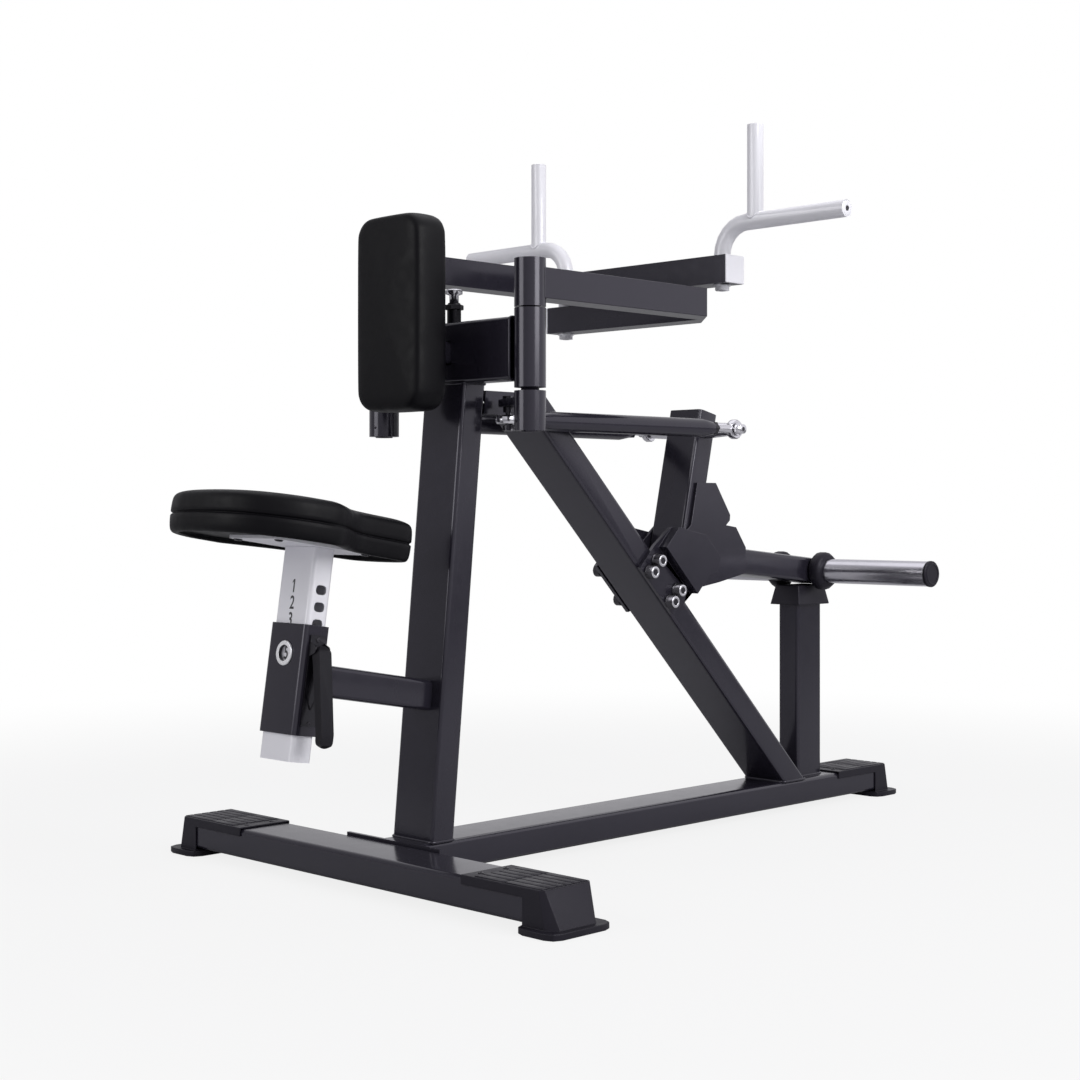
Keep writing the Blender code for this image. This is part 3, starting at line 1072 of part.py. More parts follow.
def hang_moving_pieces():
    """Hang each moving assembly from its joint."""
    axle = rocker_frame() @ Vector((0, 0, ROD_AXLE_UP))
    hang("rocker_joint", (PIVOT_X, 0, PIVOT_Z), (
        "rocker_tube", "rocker_hub", "rod_axle", "horn_arm", "horn_bar", "horn_collar_right",
        "horn_collar_left", "horn_cap_right", "horn_cap_left"))
    for name, other, side in (("right", "left", -1), ("left", "right", 1)):
        hang(f"arm_joint_{name}", (BRACKET_X, side * POST_SPREAD, ARM_LEVEL_RIGHT), (
            f"arm_post_{name}", f"arm_tube_{name}", f"arm_plug_{name}", f"handle_{other}",
            f"crank_{name}", f"crank_bolt_{name}"))
        hang(f"rod_joint_{name}", (axle.x, side * ROD_AXLE_Y, axle.z), (
            f"tie_rod_{name}", f"rear_eye_{name}", f"front_eye_{name}"))
    hang("seat_joint", seat_frame().translation, ("seat_post", "seat_plate", "seat_cushion"))
    lever = seat_frame() @ Vector((0, -(SLEEVE_WIDTH / 2 + LEVER_PIVOT_OUT), LEVER_PIVOT_UP))
    hang("lever_joint", lever, ("seat_lever",))
    hang("lock_pin_joint", seat_frame() @ Vector((0, 0, LOCK_PIN_UP)), ("lock_pin",))
    hang("chest_joint", (BRACKET_X, 0, CHEST_TUBE_Z), ("chest_carriage", "chest_pad"))
    hang("pull_pin_joint", (BRACKET_X, 0, BRACKET_TOP), ("chest_pull_pin",))


def main():
    """Build the whole machine."""
    build_base()
    build_uprights()
    build_pivot_bracket()
    build_arm("right", -1, ARM_LEVEL_RIGHT)
    build_arm("left", 1, ARM_LEVEL_LEFT)
    build_rocker()
    build_bearing()
    build_horns()
    build_tie_rod("right", -1)
    build_tie_rod("left", 1)
    build_seat_sleeve()
    build_seat_post()
    build_seat_lever()
    build_chest_pad()
    hang_moving_pieces()


main()
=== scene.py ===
"""Studio scene of a plate-loaded seated row machine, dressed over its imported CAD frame.

Axes are those of the frame: +X is the way the user faces, +Y the user's left and +Z up. Lengths are in
metres, and the origin is on the floor under the middle of the machine.
"""

import json
import logging
import math
from collections.abc import Sequence
from dataclasses import dataclass, field
from enum import Enum

import bmesh
import bpy
from mathutils import Matrix, Vector

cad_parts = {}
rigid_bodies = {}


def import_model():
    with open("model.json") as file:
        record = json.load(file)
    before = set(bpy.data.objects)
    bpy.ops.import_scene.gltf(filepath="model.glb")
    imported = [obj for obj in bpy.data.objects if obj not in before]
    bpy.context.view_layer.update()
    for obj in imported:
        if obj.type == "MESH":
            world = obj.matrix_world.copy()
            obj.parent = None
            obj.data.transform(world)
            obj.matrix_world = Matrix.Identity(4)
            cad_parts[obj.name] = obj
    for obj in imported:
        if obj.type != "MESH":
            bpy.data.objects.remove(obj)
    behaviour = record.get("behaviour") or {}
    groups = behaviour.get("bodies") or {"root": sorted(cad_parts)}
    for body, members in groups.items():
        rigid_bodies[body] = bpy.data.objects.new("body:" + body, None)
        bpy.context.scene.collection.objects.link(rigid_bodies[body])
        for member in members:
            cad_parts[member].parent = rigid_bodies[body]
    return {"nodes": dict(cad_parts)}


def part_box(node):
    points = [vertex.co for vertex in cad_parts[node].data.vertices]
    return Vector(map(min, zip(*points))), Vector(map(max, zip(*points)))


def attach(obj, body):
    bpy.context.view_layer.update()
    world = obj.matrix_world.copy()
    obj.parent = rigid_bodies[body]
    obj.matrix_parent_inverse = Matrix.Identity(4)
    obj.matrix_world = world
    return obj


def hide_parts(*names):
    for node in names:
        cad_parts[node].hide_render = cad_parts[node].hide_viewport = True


for startup in list(bpy.data.objects):
    bpy.data.objects.remove(startup, do_unlink=True)
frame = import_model()

logging.basicConfig(level=logging.INFO, format="%(message)s")
LOG = logging.getLogger("row_machine")
MERGE_DISTANCE = 0.00002        # points this close in a CAD node are one
SEAM_DISTANCE = 0.00001         # points this close in a new shape are one
FLAT_ANGLE = math.radians(0.6)  # faces closer than this are one plane
EDGE_ANGLE = math.radians(40)   # edges over this get their radius
BARE_ANGLE = 50.0               # degrees over which a node without a radius keeps its creases
SEAT_LEAN = 8.5                 # degrees that the seat's post leans forward
COAT_TINT = (0.92, 0.90, 1.0, 1.0)
NOISE_BAND = (0.32, 0.68)       # values between which most of a noise lies


class Body(str, Enum):
    """The moving bodies of the machine."""

    FRAME = "frame"
    RIGHT_ARM = "right_arm"
    LEFT_ARM = "left_arm"
    ROCKER = "rocker"
    RIGHT_ROD = "right_rod"
    LEFT_ROD = "left_rod"
    SEAT = "seat"
    LEVER = "seat_lever"
    LOCK_PIN = "lock_pin"
    CHEST = "chest"
    PULL_PIN = "pull_pin"


class Slot(str, Enum):
    """The record's material slots."""

    FRAME_BLACK = "frame_black"
    RUBBER = "black_rubber"
    SILVER = "silver_paint"
    CHROME = "chrome"
    VINYL = "upholstery"
    PLASTIC = "black_plastic"


Color = tuple[float, float, float]
Point = tuple[float, float, float]
Three = tuple[float, float, float]
Profile = Sequence[tuple[float, float]]


class NodeSheet:
    """A small helper that lays out the nodes of one material."""

    def __init__(self, name: str) -> None:
        """Start an empty material with a Principled shader.

        Args:
            name: The material's name.
        """
        self.material = bpy.data.materials.new(name)
        self.material.use_nodes = True
        self.tree = self.material.node_tree
        self.shader = self.tree.nodes["Principled BSDF"]
        self.coords = self.tree.nodes.new("ShaderNodeTexCoord").outputs["Object"]

    def node(self, kind: str, **values: object) -> bpy.types.Node:
        """Add a node and set its inputs and properties.

        Args:
            kind: The node's type, without the ShaderNode prefix.
            **values: Inputs by name, with underscores for spaces, or properties.

        Returns:
            The new node.
        """
        made = self.tree.nodes.new("ShaderNode" + kind)
        for key, value in values.items():
            label = key.replace("_", " ").title()
            if label in made.inputs:
                made.inputs[label].default_value = value
            else:
                setattr(made, key, value)
        return made

    def link(self, source: bpy.types.NodeSocket, target: bpy.types.NodeSocket) -> None:
        """Join two sockets."""
        self.tree.links.new(source, target)

    def noise(self, scale: float, detail: float = 3.0) -> bpy.types.NodeSocket:
        """Add a noise on Object coordinates.

        Args:
            scale: Features per metre.
            detail: Octaves.

        Returns:
            The noise's value socket.
        """
        made = self.node("TexNoise", scale=scale, detail=detail)
        self.link(self.coords, made.inputs["Vector"])
        return made.outputs["Fac"]

    def spread(self, value: bpy.types.NodeSocket, low: float, high: float) -> bpy.types.NodeSocket:
        """Map a noise's middle band to a range.

        Args:
            value: The socket to map.
            low: The lowest output.
            high: The highest output.

        Returns:
            The mapped value's socket.
        """
        made = self.node("MapRange")
        made.inputs["From Min"].default_value = NOISE_BAND[0]
        made.inputs["From Max"].default_value = NOISE_BAND[1]
        made.inputs["To Min"].default_value = low
        made.inputs["To Max"].default_value = high
        self.link(value, made.inputs["Value"])
        return made.outputs["Result"]

    def tint(self, value: bpy.types.NodeSocket, dark: Color, light: Color) -> None:
        """Drive the base colour between two colours by a value."""
        ramp = self.node("ValToRGB")
        ramp.color_ramp.elements[0].position = 0.35
        ramp.color_ramp.elements[0].color = (*dark, 1.0)
        ramp.color_ramp.elements[1].position = 0.65
        ramp.color_ramp.elements[1].color = (*light, 1.0)
        self.link(value, ramp.inputs["Fac"])
        self.link(ramp.outputs["Color"], self.shader.inputs["Base Color"])

    def bump(self, height: bpy.types.NodeSocket, strength: float, distance: float) -> None:
        """Raise the surface by a height.

        Args:
            height: The socket with the height.
            strength: The bump's strength.
            distance: The height of a full step, in metres.
        """
        made = self.node("Bump", strength=strength, distance=distance)
        self.link(height, made.inputs["Height"])
        self.link(made.outputs["Normal"], self.shader.inputs["Normal"])

    def scaled(self, x: float, y: float, z: float) -> bpy.types.NodeSocket:
        """Return Object coordinates stretched along each axis."""
        made = self.node("Mapping")
        made.inputs["Scale"].default_value = (x, y, z)
        self.link(self.coords, made.inputs["Vector"])
        return made.outputs["Vector"]


@dataclass(frozen=True)
class Finish:
    """One finish of the machine.

    Attributes:
        name: The material's name.
        slot: The record's slot that it belongs to; not used.
        color: Base colour, linear.
        roughness: Middle roughness.
        metallic: Metallic value.
        variation: How far the colour varies, as a share.
        grain: Fine bump features per metre.
        relief: Height of the fine bump, in metres.
    """

    name: str
    slot: Slot
    color: Color
    roughness: float
    metallic: float = 0.0
    variation: float = 0.15
    grain: float = 900.0
    relief: float = 0.0001

    def shade(self, level: float) -> Color:
        """Return the base colour at a level of its brightness."""
        return (self.color[0] * level, self.color[1] * level, self.color[2] * level)

    def make(self) -> bpy.types.Material:
        """Build the material.

        Returns:
            The finished material.
        """
        sheet = NodeSheet(self.name)
        sheet.shader.inputs["Metallic"].default_value = self.metallic
        cloud = sheet.noise(9.0)
        sheet.tint(cloud, self.shade(1 - self.variation), self.shade(1 + self.variation))
        rough = sheet.spread(sheet.noise(55.0), self.roughness * 0.88, self.roughness * 1.12)
        sheet.link(rough, sheet.shader.inputs["Roughness"])
        self.surface(sheet)
        return sheet.material

    def surface(self, sheet: NodeSheet) -> None:
        """Give the surface its fine relief."""
        sheet.bump(sheet.noise(self.grain, 4.0), 0.35, self.relief)


@dataclass(frozen=True)
class PowderCoat(Finish):
    """Glossy powder coat with a fine orange peel.

    Attributes:
        gloss: Strength of its highlights.
    """

    gloss: float = 0.56

    def surface(self, sheet: NodeSheet) -> None:
        """Lay a fine orange peel on the coat."""
        sheet.shader.inputs["Specular IOR Level"].default_value = self.gloss
        sheet.shader.inputs["Specular Tint"].default_value = COAT_TINT
        peel = sheet.node("TexVoronoi", scale=self.grain)
        peel.feature = "SMOOTH_F1"
        sheet.link(sheet.coords, peel.inputs["Vector"])
        sheet.bump(peel.outputs["Distance"], 0.22, self.relief)


@dataclass(frozen=True)
class Moulded(Finish):
    """Dull moulded rubber or plastic.

    Attributes:
        gloss: Strength of its highlights.
    """

    gloss: float = 0.22

    def surface(self, sheet: NodeSheet) -> None:
        """Keep the highlights low over a fine texture."""
        sheet.shader.inputs["Specular IOR Level"].default_value = self.gloss
        sheet.shader.inputs["Specular Tint"].default_value = COAT_TINT
        sheet.bump(sheet.noise(self.grain, 4.0), 0.30, self.relief)


@dataclass(frozen=True)
class BrushedMetal(Finish):
    """Bright metal with fine turning lines round the Y axis of a bar.

    Attributes:
        streaks: How fast the lines change along each axis, per metre.
    """

    streaks: Three = (18.0, 2600.0, 18.0)

    def surface(self, sheet: NodeSheet) -> None:
        """Draw the turning lines as long streaks across the bar's axis."""
        lines = sheet.node("TexNoise", scale=1.0, detail=4.0)
        sheet.link(sheet.scaled(*self.streaks), lines.inputs["Vector"])
        sheet.bump(lines.outputs["Fac"], 0.25, self.relief)


@dataclass(frozen=True)
class Vinyl(Finish):
    """Grained vinyl.

    Attributes:
        gloss: Strength of its highlights.
    """

    gloss: float = 0.13

    def surface(self, sheet: NodeSheet) -> None:
        """Press a fine leather grain into the cover."""
        sheet.shader.inputs["Specular IOR Level"].default_value = self.gloss
        cells = sheet.node("TexVoronoi", scale=self.grain)
        cells.feature = "DISTANCE_TO_EDGE"
        sheet.link(sheet.coords, cells.inputs["Vector"])
        fold = sheet.node("Math", operation="ADD")
        sheet.link(sheet.spread(cells.outputs["Distance"], 0.0, 1.0), fold.inputs[0])
        sheet.link(sheet.noise(self.grain * 2.5), fold.inputs[1])
        sheet.bump(fold.outputs["Value"], 0.3, self.relief)


class Palette(Enum):
    """The finishes of the machine."""

    FRAME = PowderCoat("frame_powder_coat", Slot.FRAME_BLACK, (0.0165, 0.0150, 0.0225),
                       0.17, 0.0, 0.05, 1500.0, 0.00002)
    FITTING = PowderCoat("fitting_black", Slot.FRAME_BLACK, (0.0050, 0.0046, 0.0066),
                         0.24, 0.0, 0.08, 1800.0, 0.00002)
    BOLT = Finish("dark_bolt_steel", Slot.FRAME_BLACK, (0.062, 0.060, 0.068),
                  0.26, 0.85, 0.08, 1600.0, 0.00003)
    SILVER = Finish("silver_paint", Slot.SILVER, (0.800, 0.795, 0.842), 0.34, 0.10, 0.02, 2600.0, 0.00003)
    CHROME = Finish("bright_plating", Slot.CHROME, (0.66, 0.655, 0.69), 0.17, 1.0, 0.03, 1400.0, 0.00001)
    # A paler copy of the bright plating for the window's ring: its own plating, lightened as painted light
    # so that the ring shows lit.
    LIT_PLATING = Finish("plated_ring_painted_light", Slot.CHROME, (0.90, 0.90, 0.92), 0.30, 0.6, 0.02, 1400.0, 0.00001)
    HORN = BrushedMetal("turned_steel", Slot.CHROME, (0.60, 0.59, 0.635), 0.24, 1.0, 0.03, 1400.0, 0.000008)
    RUBBER = Moulded("moulded_rubber", Slot.RUBBER, (0.0120, 0.0108, 0.0160),
                     0.42, 0.0, 0.08, 1100.0, 0.00008)
    PLASTIC = Moulded("moulded_plastic", Slot.PLASTIC, (0.0055, 0.0052, 0.0070),
                      0.34, 0.0, 0.08, 1400.0, 0.00005)
    VINYL = Vinyl("grained_vinyl", Slot.VINYL, (0.0022, 0.0020, 0.0032), 0.48, 0.0, 0.06, 700.0, 0.00010)
    INK = Finish("scale_ink", Slot.SILVER, (0.030, 0.030, 0.034), 0.5, 0.0, 0.1, 1400.0, 0.00002)


MADE: dict[str, bpy.types.Material] = {}


def material_of(finish: Palette) -> bpy.types.Material:
    """Return a finish's material, made once.

    Args:
        finish: The finish.

    Returns:
        Its material.
    """
    if finish.name not in MADE:
        MADE[finish.name] = finish.value.make()
    return MADE[finish.name]


def place(x: float = 0.0, y: float = 0.0, z: float = 0.0) -> Matrix:
    """Return a matrix that moves to a point."""
    return Matrix.Translation((x, y, z))


def turn(degrees: float, axis: str) -> Matrix:
    """Return a matrix that turns about an axis through the origin."""
    return Matrix.Rotation(math.radians(degrees), 4, axis)


def soften(obj: bpy.types.Object, width: float, steps: int) -> None:
    """Put a radius on an object's sharp edges.

    Args:
        obj: The object.
        width: The radius.
        steps: How many faces make it.
    """
    bevel = obj.modifiers.new("edge", "BEVEL")
    bevel.width = width
    bevel.segments = steps
    bevel.limit_method = "ANGLE"
    bevel.angle_limit = EDGE_ANGLE
    bevel.harden_normals = True


def leaning(x: float, z: float, degrees: float) -> Matrix:
    """Return a frame at (x, 0, z) whose +Z leans forward by an angle."""
    return place(x, 0, z) @ turn(degrees, "Y")


def seat_frame() -> Matrix:
    """Return the frame of the seat's post, at the middle of its sleeve."""
    return leaning(-0.6890, 0.3437, SEAT_LEAN)


def put(name: str, mesh: bpy.types.Mesh, finish: Palette, body: Body) -> bpy.types.Object:
    """Put a finished mesh in the scene, on its body.

    Args:
        name: The piece's name.
        mesh: The mesh, in the frame's own axes.
        finish: Its finish.
        body: The body that it rides on.

    Returns:
        The new object.
    """
    obj = bpy.data.objects.new(name, mesh)
    bpy.context.scene.collection.objects.link(obj)
    mesh.materials.clear()
    mesh.materials.append(material_of(finish))
    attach(obj, body.value)
    LOG.info("%s: %d faces, on %s", name, len(mesh.polygons), body.value)
    return obj


def closed(name: str, work: bmesh.types.BMesh, sharp: float = 38.0) -> bpy.types.Mesh:
    """Turn a bmesh into a mesh that faces out and shades smoothly up to an angle.

    Args:
        name: The mesh's name.
        work: The bmesh, which is freed.
        sharp: Edges over this angle stay sharp, in degrees.

    Returns:
        The mesh.
    """
    bmesh.ops.remove_doubles(work, verts=work.verts, dist=SEAM_DISTANCE)
    bmesh.ops.recalc_face_normals(work, faces=work.faces)
    mesh = bpy.data.meshes.new(name)
    work.to_mesh(mesh)
    work.free()
    mesh.shade_smooth()
    mesh.set_sharp_from_angle(angle=math.radians(sharp))
    return mesh


def piece(name: str, work: bmesh.types.BMesh, finish: Palette, body: Body, sharp: float = 38.0) -> None:
    """Turn a bmesh into a finished piece on its body.

    Args:
        name: The piece's name.
        work: The bmesh, which is freed.
        finish: The piece's finish.
        body: The body that it rides on.
        sharp: Edges over this angle stay sharp, in degrees.
    """
    put(name, closed(name, work, sharp), finish, body)


def moved(work: bmesh.types.BMesh, matrix: Matrix) -> bmesh.types.BMesh:
    """Move a bmesh by a matrix and return it."""
    bmesh.ops.transform(work, matrix=matrix, verts=work.verts)
    return work


def merged(node: str) -> bmesh.types.BMesh:
    """Copy a CAD node and join its loose triangles.

    Args:
        node: The node's name.

    Returns:
        The copy.
    """
    work = bmesh.new()
    work.from_mesh(frame["nodes"][node].data)
    bmesh.ops.remove_doubles(work, verts=work.verts, dist=MERGE_DISTANCE)
    return work


def evaluated(guide: bpy.types.Object) -> bmesh.types.BMesh:
    """Read the final shape of a guide and remove the guide.

    Args:
        guide: A curve, a text or a mesh with modifiers.

    Returns:
        Its shape.
    """
    bpy.context.scene.collection.objects.link(guide)
    graph = bpy.context.evaluated_depsgraph_get()
    mesh = bpy.data.meshes.new_from_object(guide.evaluated_get(graph))
    work = bmesh.new()
    work.from_mesh(mesh)
    bpy.data.objects.remove(guide, do_unlink=True)
    bpy.data.meshes.remove(mesh)
    return work


def join(target: bmesh.types.BMesh, part: bmesh.types.BMesh, matrix: Matrix) -> None:
    """Add a part to a bmesh under a matrix.

    Args:
        target: The bmesh that grows.
        part: The bmesh that is added and freed.
        matrix: Where the part goes.
    """
    held = bpy.data.meshes.new("held")
    moved(part, matrix).to_mesh(held)
    part.free()
    target.from_mesh(held)
    bpy.data.meshes.remove(held)


def soft_box(size: Point, radius: float, segments: int = 2) -> bmesh.types.BMesh:
    """Make a box with rounded edges, centred on the origin.

    Args:
        size: Its full lengths.
        radius: The radius of its edges.
        segments: Steps of each rounding.

    Returns:
        The bmesh.
    """
    work = bmesh.new()
    bmesh.ops.create_cube(work, size=1.0)
    bmesh.ops.scale(work, vec=Vector(size), verts=work.verts)
    bmesh.ops.bevel(work, geom=work.edges[:], offset=radius, affect="EDGES", segments=segments,
                    profile=0.5, material=-1, clamp_overlap=True)
    return work


def lathe(profile: Profile, steps: int = 40) -> bmesh.types.BMesh:
    """Spin a profile of (radius, height) points round the Z axis.

    Args:
        profile: The points, from one end to the other.
        steps: Steps of the full turn.

    Returns:
        The bmesh.
    """
    work = bmesh.new()
    verts = [work.verts.new((r, 0.0, z)) for r, z in profile]
    edges = [work.edges.new(pair) for pair in zip(verts, verts[1:])]
    bmesh.ops.spin(work, geom=verts + edges, axis=(0, 0, 1), cent=(0, 0, 0), angle=math.tau, steps=steps,
                   use_merge=True)
    bmesh.ops.remove_doubles(work, verts=work.verts, dist=SEAM_DISTANCE)
    return work


def hexagon(inner: float, radius: float, length: float, chamfer: float = 0.001) -> bmesh.types.BMesh:
    """Make a hexagonal nut on the Z axis, with its corners eased.

    Args:
        inner: Radius of its bore.
        radius: Radius over its corners.
        length: Its length up from the origin.
        chamfer: How far the corners are eased.

    Returns:
        The bmesh.
    """
    return lathe([(inner, 0.0), (radius - chamfer, 0.0), (radius, chamfer), (radius, length - chamfer),
                  (radius - chamfer, length), (inner, length), (inner, 0.0)], 6)


def wire(name: str, points: list[Vector], radius: float, loop: bool = False) -> bmesh.types.BMesh:
    """Make a round wire or weld bead along points.

    Args:
        name: A name for the guide.
        points: The points of its centre line.
        radius: Its radius.
        loop: Whether it closes on itself.

    Returns:
        The bmesh.
    """
    curve = bpy.data.curves.new(name, "CURVE")
    curve.dimensions = "3D"
    curve.bevel_depth = radius
    curve.bevel_resolution = 3
    curve.use_fill_caps = True
    spline = curve.splines.new("POLY")
    spline.points.add(len(points) - 1)
    for point, at in zip(spline.points, points):
        point.co = (*at, 1.0)
    spline.use_cyclic_u = loop
    return evaluated(bpy.data.objects.new(name, curve))


def ring_points(corners: list[Vector], radius: float, steps: int = 4) -> list[Vector]:
    """Round the corners of a flat closed outline.

    Args:
        corners: The outline's corners, in order.
        radius: The length taken off each side at a corner.
        steps: Steps of each rounding.

    Returns:
        The points of the rounded outline.
    """
    points = []
    count = len(corners)
    for i, corner in enumerate(corners):
        before = (corners[i - 1] - corner).normalized() * radius
        after = (corners[(i + 1) % count] - corner).normalized() * radius
        for step in range(steps + 1):
            t = step / steps
            points.append(corner + before * (1 - t) ** 2 + after * t ** 2)
    return points


@dataclass
class Carried:
    """CAD nodes that keep their shape and get smooth normals, softer edges and a finish.

    Attributes:
        body: The body that they ride on.
        finish: Their finish.
        nodes: Their names.
        edge: Radius put on their sharp edges, or 0.
        steps: Steps of that radius.
        sharp: Edges over this angle keep a crease, in degrees.
    """

    body: Body
    finish: Palette
    nodes: tuple[str, ...]
    edge: float = 0.0
    steps: int = 2
    sharp: float = 40.0

    def dress(self) -> None:
        """Copy each node, merge it, soften it and let the copy stand for it."""
        for node in self.nodes:
            work = merged(node)
            bmesh.ops.dissolve_limit(work, angle_limit=FLAT_ANGLE, verts=work.verts, edges=work.edges)
            mesh = bpy.data.meshes.new(node + "_shell")
            work.to_mesh(mesh)
            work.free()
            mesh.shade_smooth()
            mesh.set_sharp_from_angle(angle=math.radians(self.sharp if self.edge else BARE_ANGLE))
            obj = put(node + "_shell", mesh, self.finish, self.body)
            if self.edge:
                soften(obj, self.edge, self.steps)
            else:
                normals = obj.modifiers.new("normals", "WEIGHTED_NORMAL")
                normals.keep_sharp = True
            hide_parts(node)


@dataclass
class Lever:
    """The seat's lever, with its ends rounded from the front.

    Attributes:
        post: The seat's frame, at the sleeve's middle.
        node: The CAD node that it stands for.
        size: Width, depth and length of the rounded outline.
        middle: Place of that outline's middle in the seat's frame.
        ends: Radius of its ends, as a share of its width.
        edge: Radius of the edges.
        steps: Steps of that radius.
    """

    post: Matrix = field(default_factory=seat_frame)
    node: str = "seat_lever"
    size: Point = (0.0238, 0.080, 0.1546)
    middle: Point = (0.0, -0.075, -0.0225)
    ends: float = 0.48
    edge: float = 0.0035
    steps: int = 4

    def dress(self) -> None:
        """Round the lever's ends and edges."""
        outline = bmesh.new()
        bmesh.ops.create_cube(outline, size=1.0)
        bmesh.ops.scale(outline, vec=Vector(self.size), verts=outline.verts)
        corners = [e for e in outline.edges if abs((e.verts[0].co - e.verts[1].co).normalized().y) > 0.9]
        bmesh.ops.bevel(outline, geom=corners, offset=self.size[0] * self.ends, affect="EDGES",
                        segments=8, profile=0.5, material=-1)
        moved(outline, self.post @ place(*self.middle))
        guide = bpy.data.objects.new("outline", closed("outline", outline))
        bpy.context.scene.collection.objects.link(guide)
        solid = bpy.data.objects.new("solid", closed("solid", merged(self.node)))
        common = solid.modifiers.new("common", "BOOLEAN")
        common.operation = "INTERSECT"
        common.object = guide
        rounded = evaluated(solid)
        bpy.data.objects.remove(guide, do_unlink=True)
        bmesh.ops.dissolve_limit(rounded, angle_limit=FLAT_ANGLE, verts=rounded.verts, edges=rounded.edges)
        obj = put("lever_shell", closed("lever_shell", rounded, 40), Palette.PLASTIC, Body.LEVER)
        soften(obj, self.edge, self.steps)
        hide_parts(self.node)


@dataclass
class Treads:
    """Ribs and screws on top of the three moulded end caps.

    Attributes:
        rear: Place of the long beam's rear end.
        front: Place of the cross beam along the machine, and half its length.
        middle: Height of the beams' middle.
        top: Height of the cap's top above the beam's middle.
        rows: Number of ribs side by side.
        pitch: Distance between ribs.
        width: Width of a rib.
        height: How far a rib stands up.
        eased: Radius of a rib's edges.
        runs: Start and end of each run of ribs, along the cap.
        screws: Place of the two screws along the cap, and half their distance apart.
        head: Profile of a screw's head.
    """

    rear: float = 0.8221
    front: tuple[float, float] = (-0.5405, 0.430)
    middle: float = 0.038
    top: float = 0.028
    rows: int = 6
    pitch: float = 0.0165
    width: float = 0.0140
    height: float = 0.0012
    eased: float = 0.0007
    runs: tuple[tuple[float, float], ...] = ((-0.127, -0.066), (-0.0635, 0.0135))
    screws: tuple[float, float] = (-0.137, 0.026)
    head: Profile = ((0.0, 0.0004), (0.0016, 0.0004), (0.0018, 0.0016), (0.0036, 0.0014),
                     (0.0046, 0.0006), (0.0048, -0.001), (0.0, -0.001))

    def caps(self) -> dict[str, Matrix]:
        """Place the caps on their beams.

        Returns:
            Each cap's name and the frame of its beam's end, +X out of the beam.
        """
        x, half = self.front
        return {
            "rear": place(self.rear, 0, self.middle),
            "left": place(x, half, self.middle) @ turn(90, "Z"),
            "right": place(x, -half, self.middle) @ turn(-90, "Z"),
        }

    def dress(self) -> None:
        """Build the ribs and the screws of each cap."""
        for name, matrix in self.caps().items():
            ribs = bmesh.new()
            for low, high in self.runs:
                for row in range(self.rows):
                    across = (row - (self.rows - 1) / 2) * self.pitch
                    bar = soft_box((high - low, self.width, self.height * 2), self.eased)
                    join(ribs, bar, matrix @ place((low + high) / 2, across, self.top))
            piece(f"tread_ribs_{name}", ribs, Palette.RUBBER, Body.FRAME)
            heads = bmesh.new()
            along, out = self.screws
            for side in (-1, 1):
                join(heads, lathe(self.head, 24), matrix @ place(along, side * out, self.top))
            piece(f"tread_screws_{name}", heads, Palette.FITTING, Body.FRAME)


@dataclass
class WeldBeads:
    """Weld beads where the frame's tubes meet.

    Attributes:
        radius: Radius of a bead.
        corner: Rounding of a bead's corners.
        level: Place, height, half length and half width of each level bead, at the foot of the main
            upright, the diagonal and the stop post and at the head of the upright.
        bracket: Place and half length of the beads at the ends of the bracket across the top.
        bracket_y: How far to each side they lie.
        bracket_z: Their bottom and top.
        arm: Place, height and slope of the seat arm's middle.
        arm_ends: Place of a bead along the seat arm, and how far its upper half leans along it.
        arm_half: Half the seat arm's width.
    """

    radius: float = 0.0024
    corner: float = 0.007
    level: tuple[tuple[float, float, float, float], ...] = (
        (-0.4227, 0.0634, 0.0251, 0.050),
        (0.5239, 0.0634, 0.0354, 0.050),
        (0.6065, 0.0634, 0.040, 0.025),
        (-0.3514, 0.8166, 0.0251, 0.050),
    )
    bracket: tuple[float, float] = (-0.3535, 0.022)
    bracket_y: float = 0.1562
    bracket_z: tuple[float, float] = (0.8175, 0.9185)
    arm: Three = (-0.5165, 0.3162, 10.0)
    arm_ends: tuple[tuple[float, float], ...] = ((-0.1405, -0.0052), (0.1145, 0.0166))
    arm_half: float = 0.025

    def loops(self) -> list[list[Vector]]:
        """Return the corners of every bead.

        Returns:
            One list of corners per bead.
        """
        corners = ((1, 1), (-1, 1), (-1, -1), (1, -1))
        found = [[Vector((x + sx * half_x, sy * half_y, z)) for sx, sy in corners]
                 for x, z, half_x, half_y in self.level]
        x, half = self.bracket
        for side in (-1, 1):
            found.append([Vector((x + sx * half, side * self.bracket_y, self.bracket_z[sz > 0]))
                          for sx, sz in corners])
        slope = leaning(*self.arm)
        for along, lean in self.arm_ends:
            found.append([slope @ Vector((along + sz * lean, sy * self.arm_half, sz * self.arm_half))
                          for sy, sz in corners])
        return found

    def dress(self) -> None:
        """Build every bead as one piece on the frame."""
        work = bmesh.new()
        for corners in self.loops():
            points = ring_points(corners, self.corner)
            join(work, wire("bead", points, self.radius, loop=True), Matrix.Identity(4))
        piece("weld_beads", work, Palette.FRAME, Body.FRAME, 60)


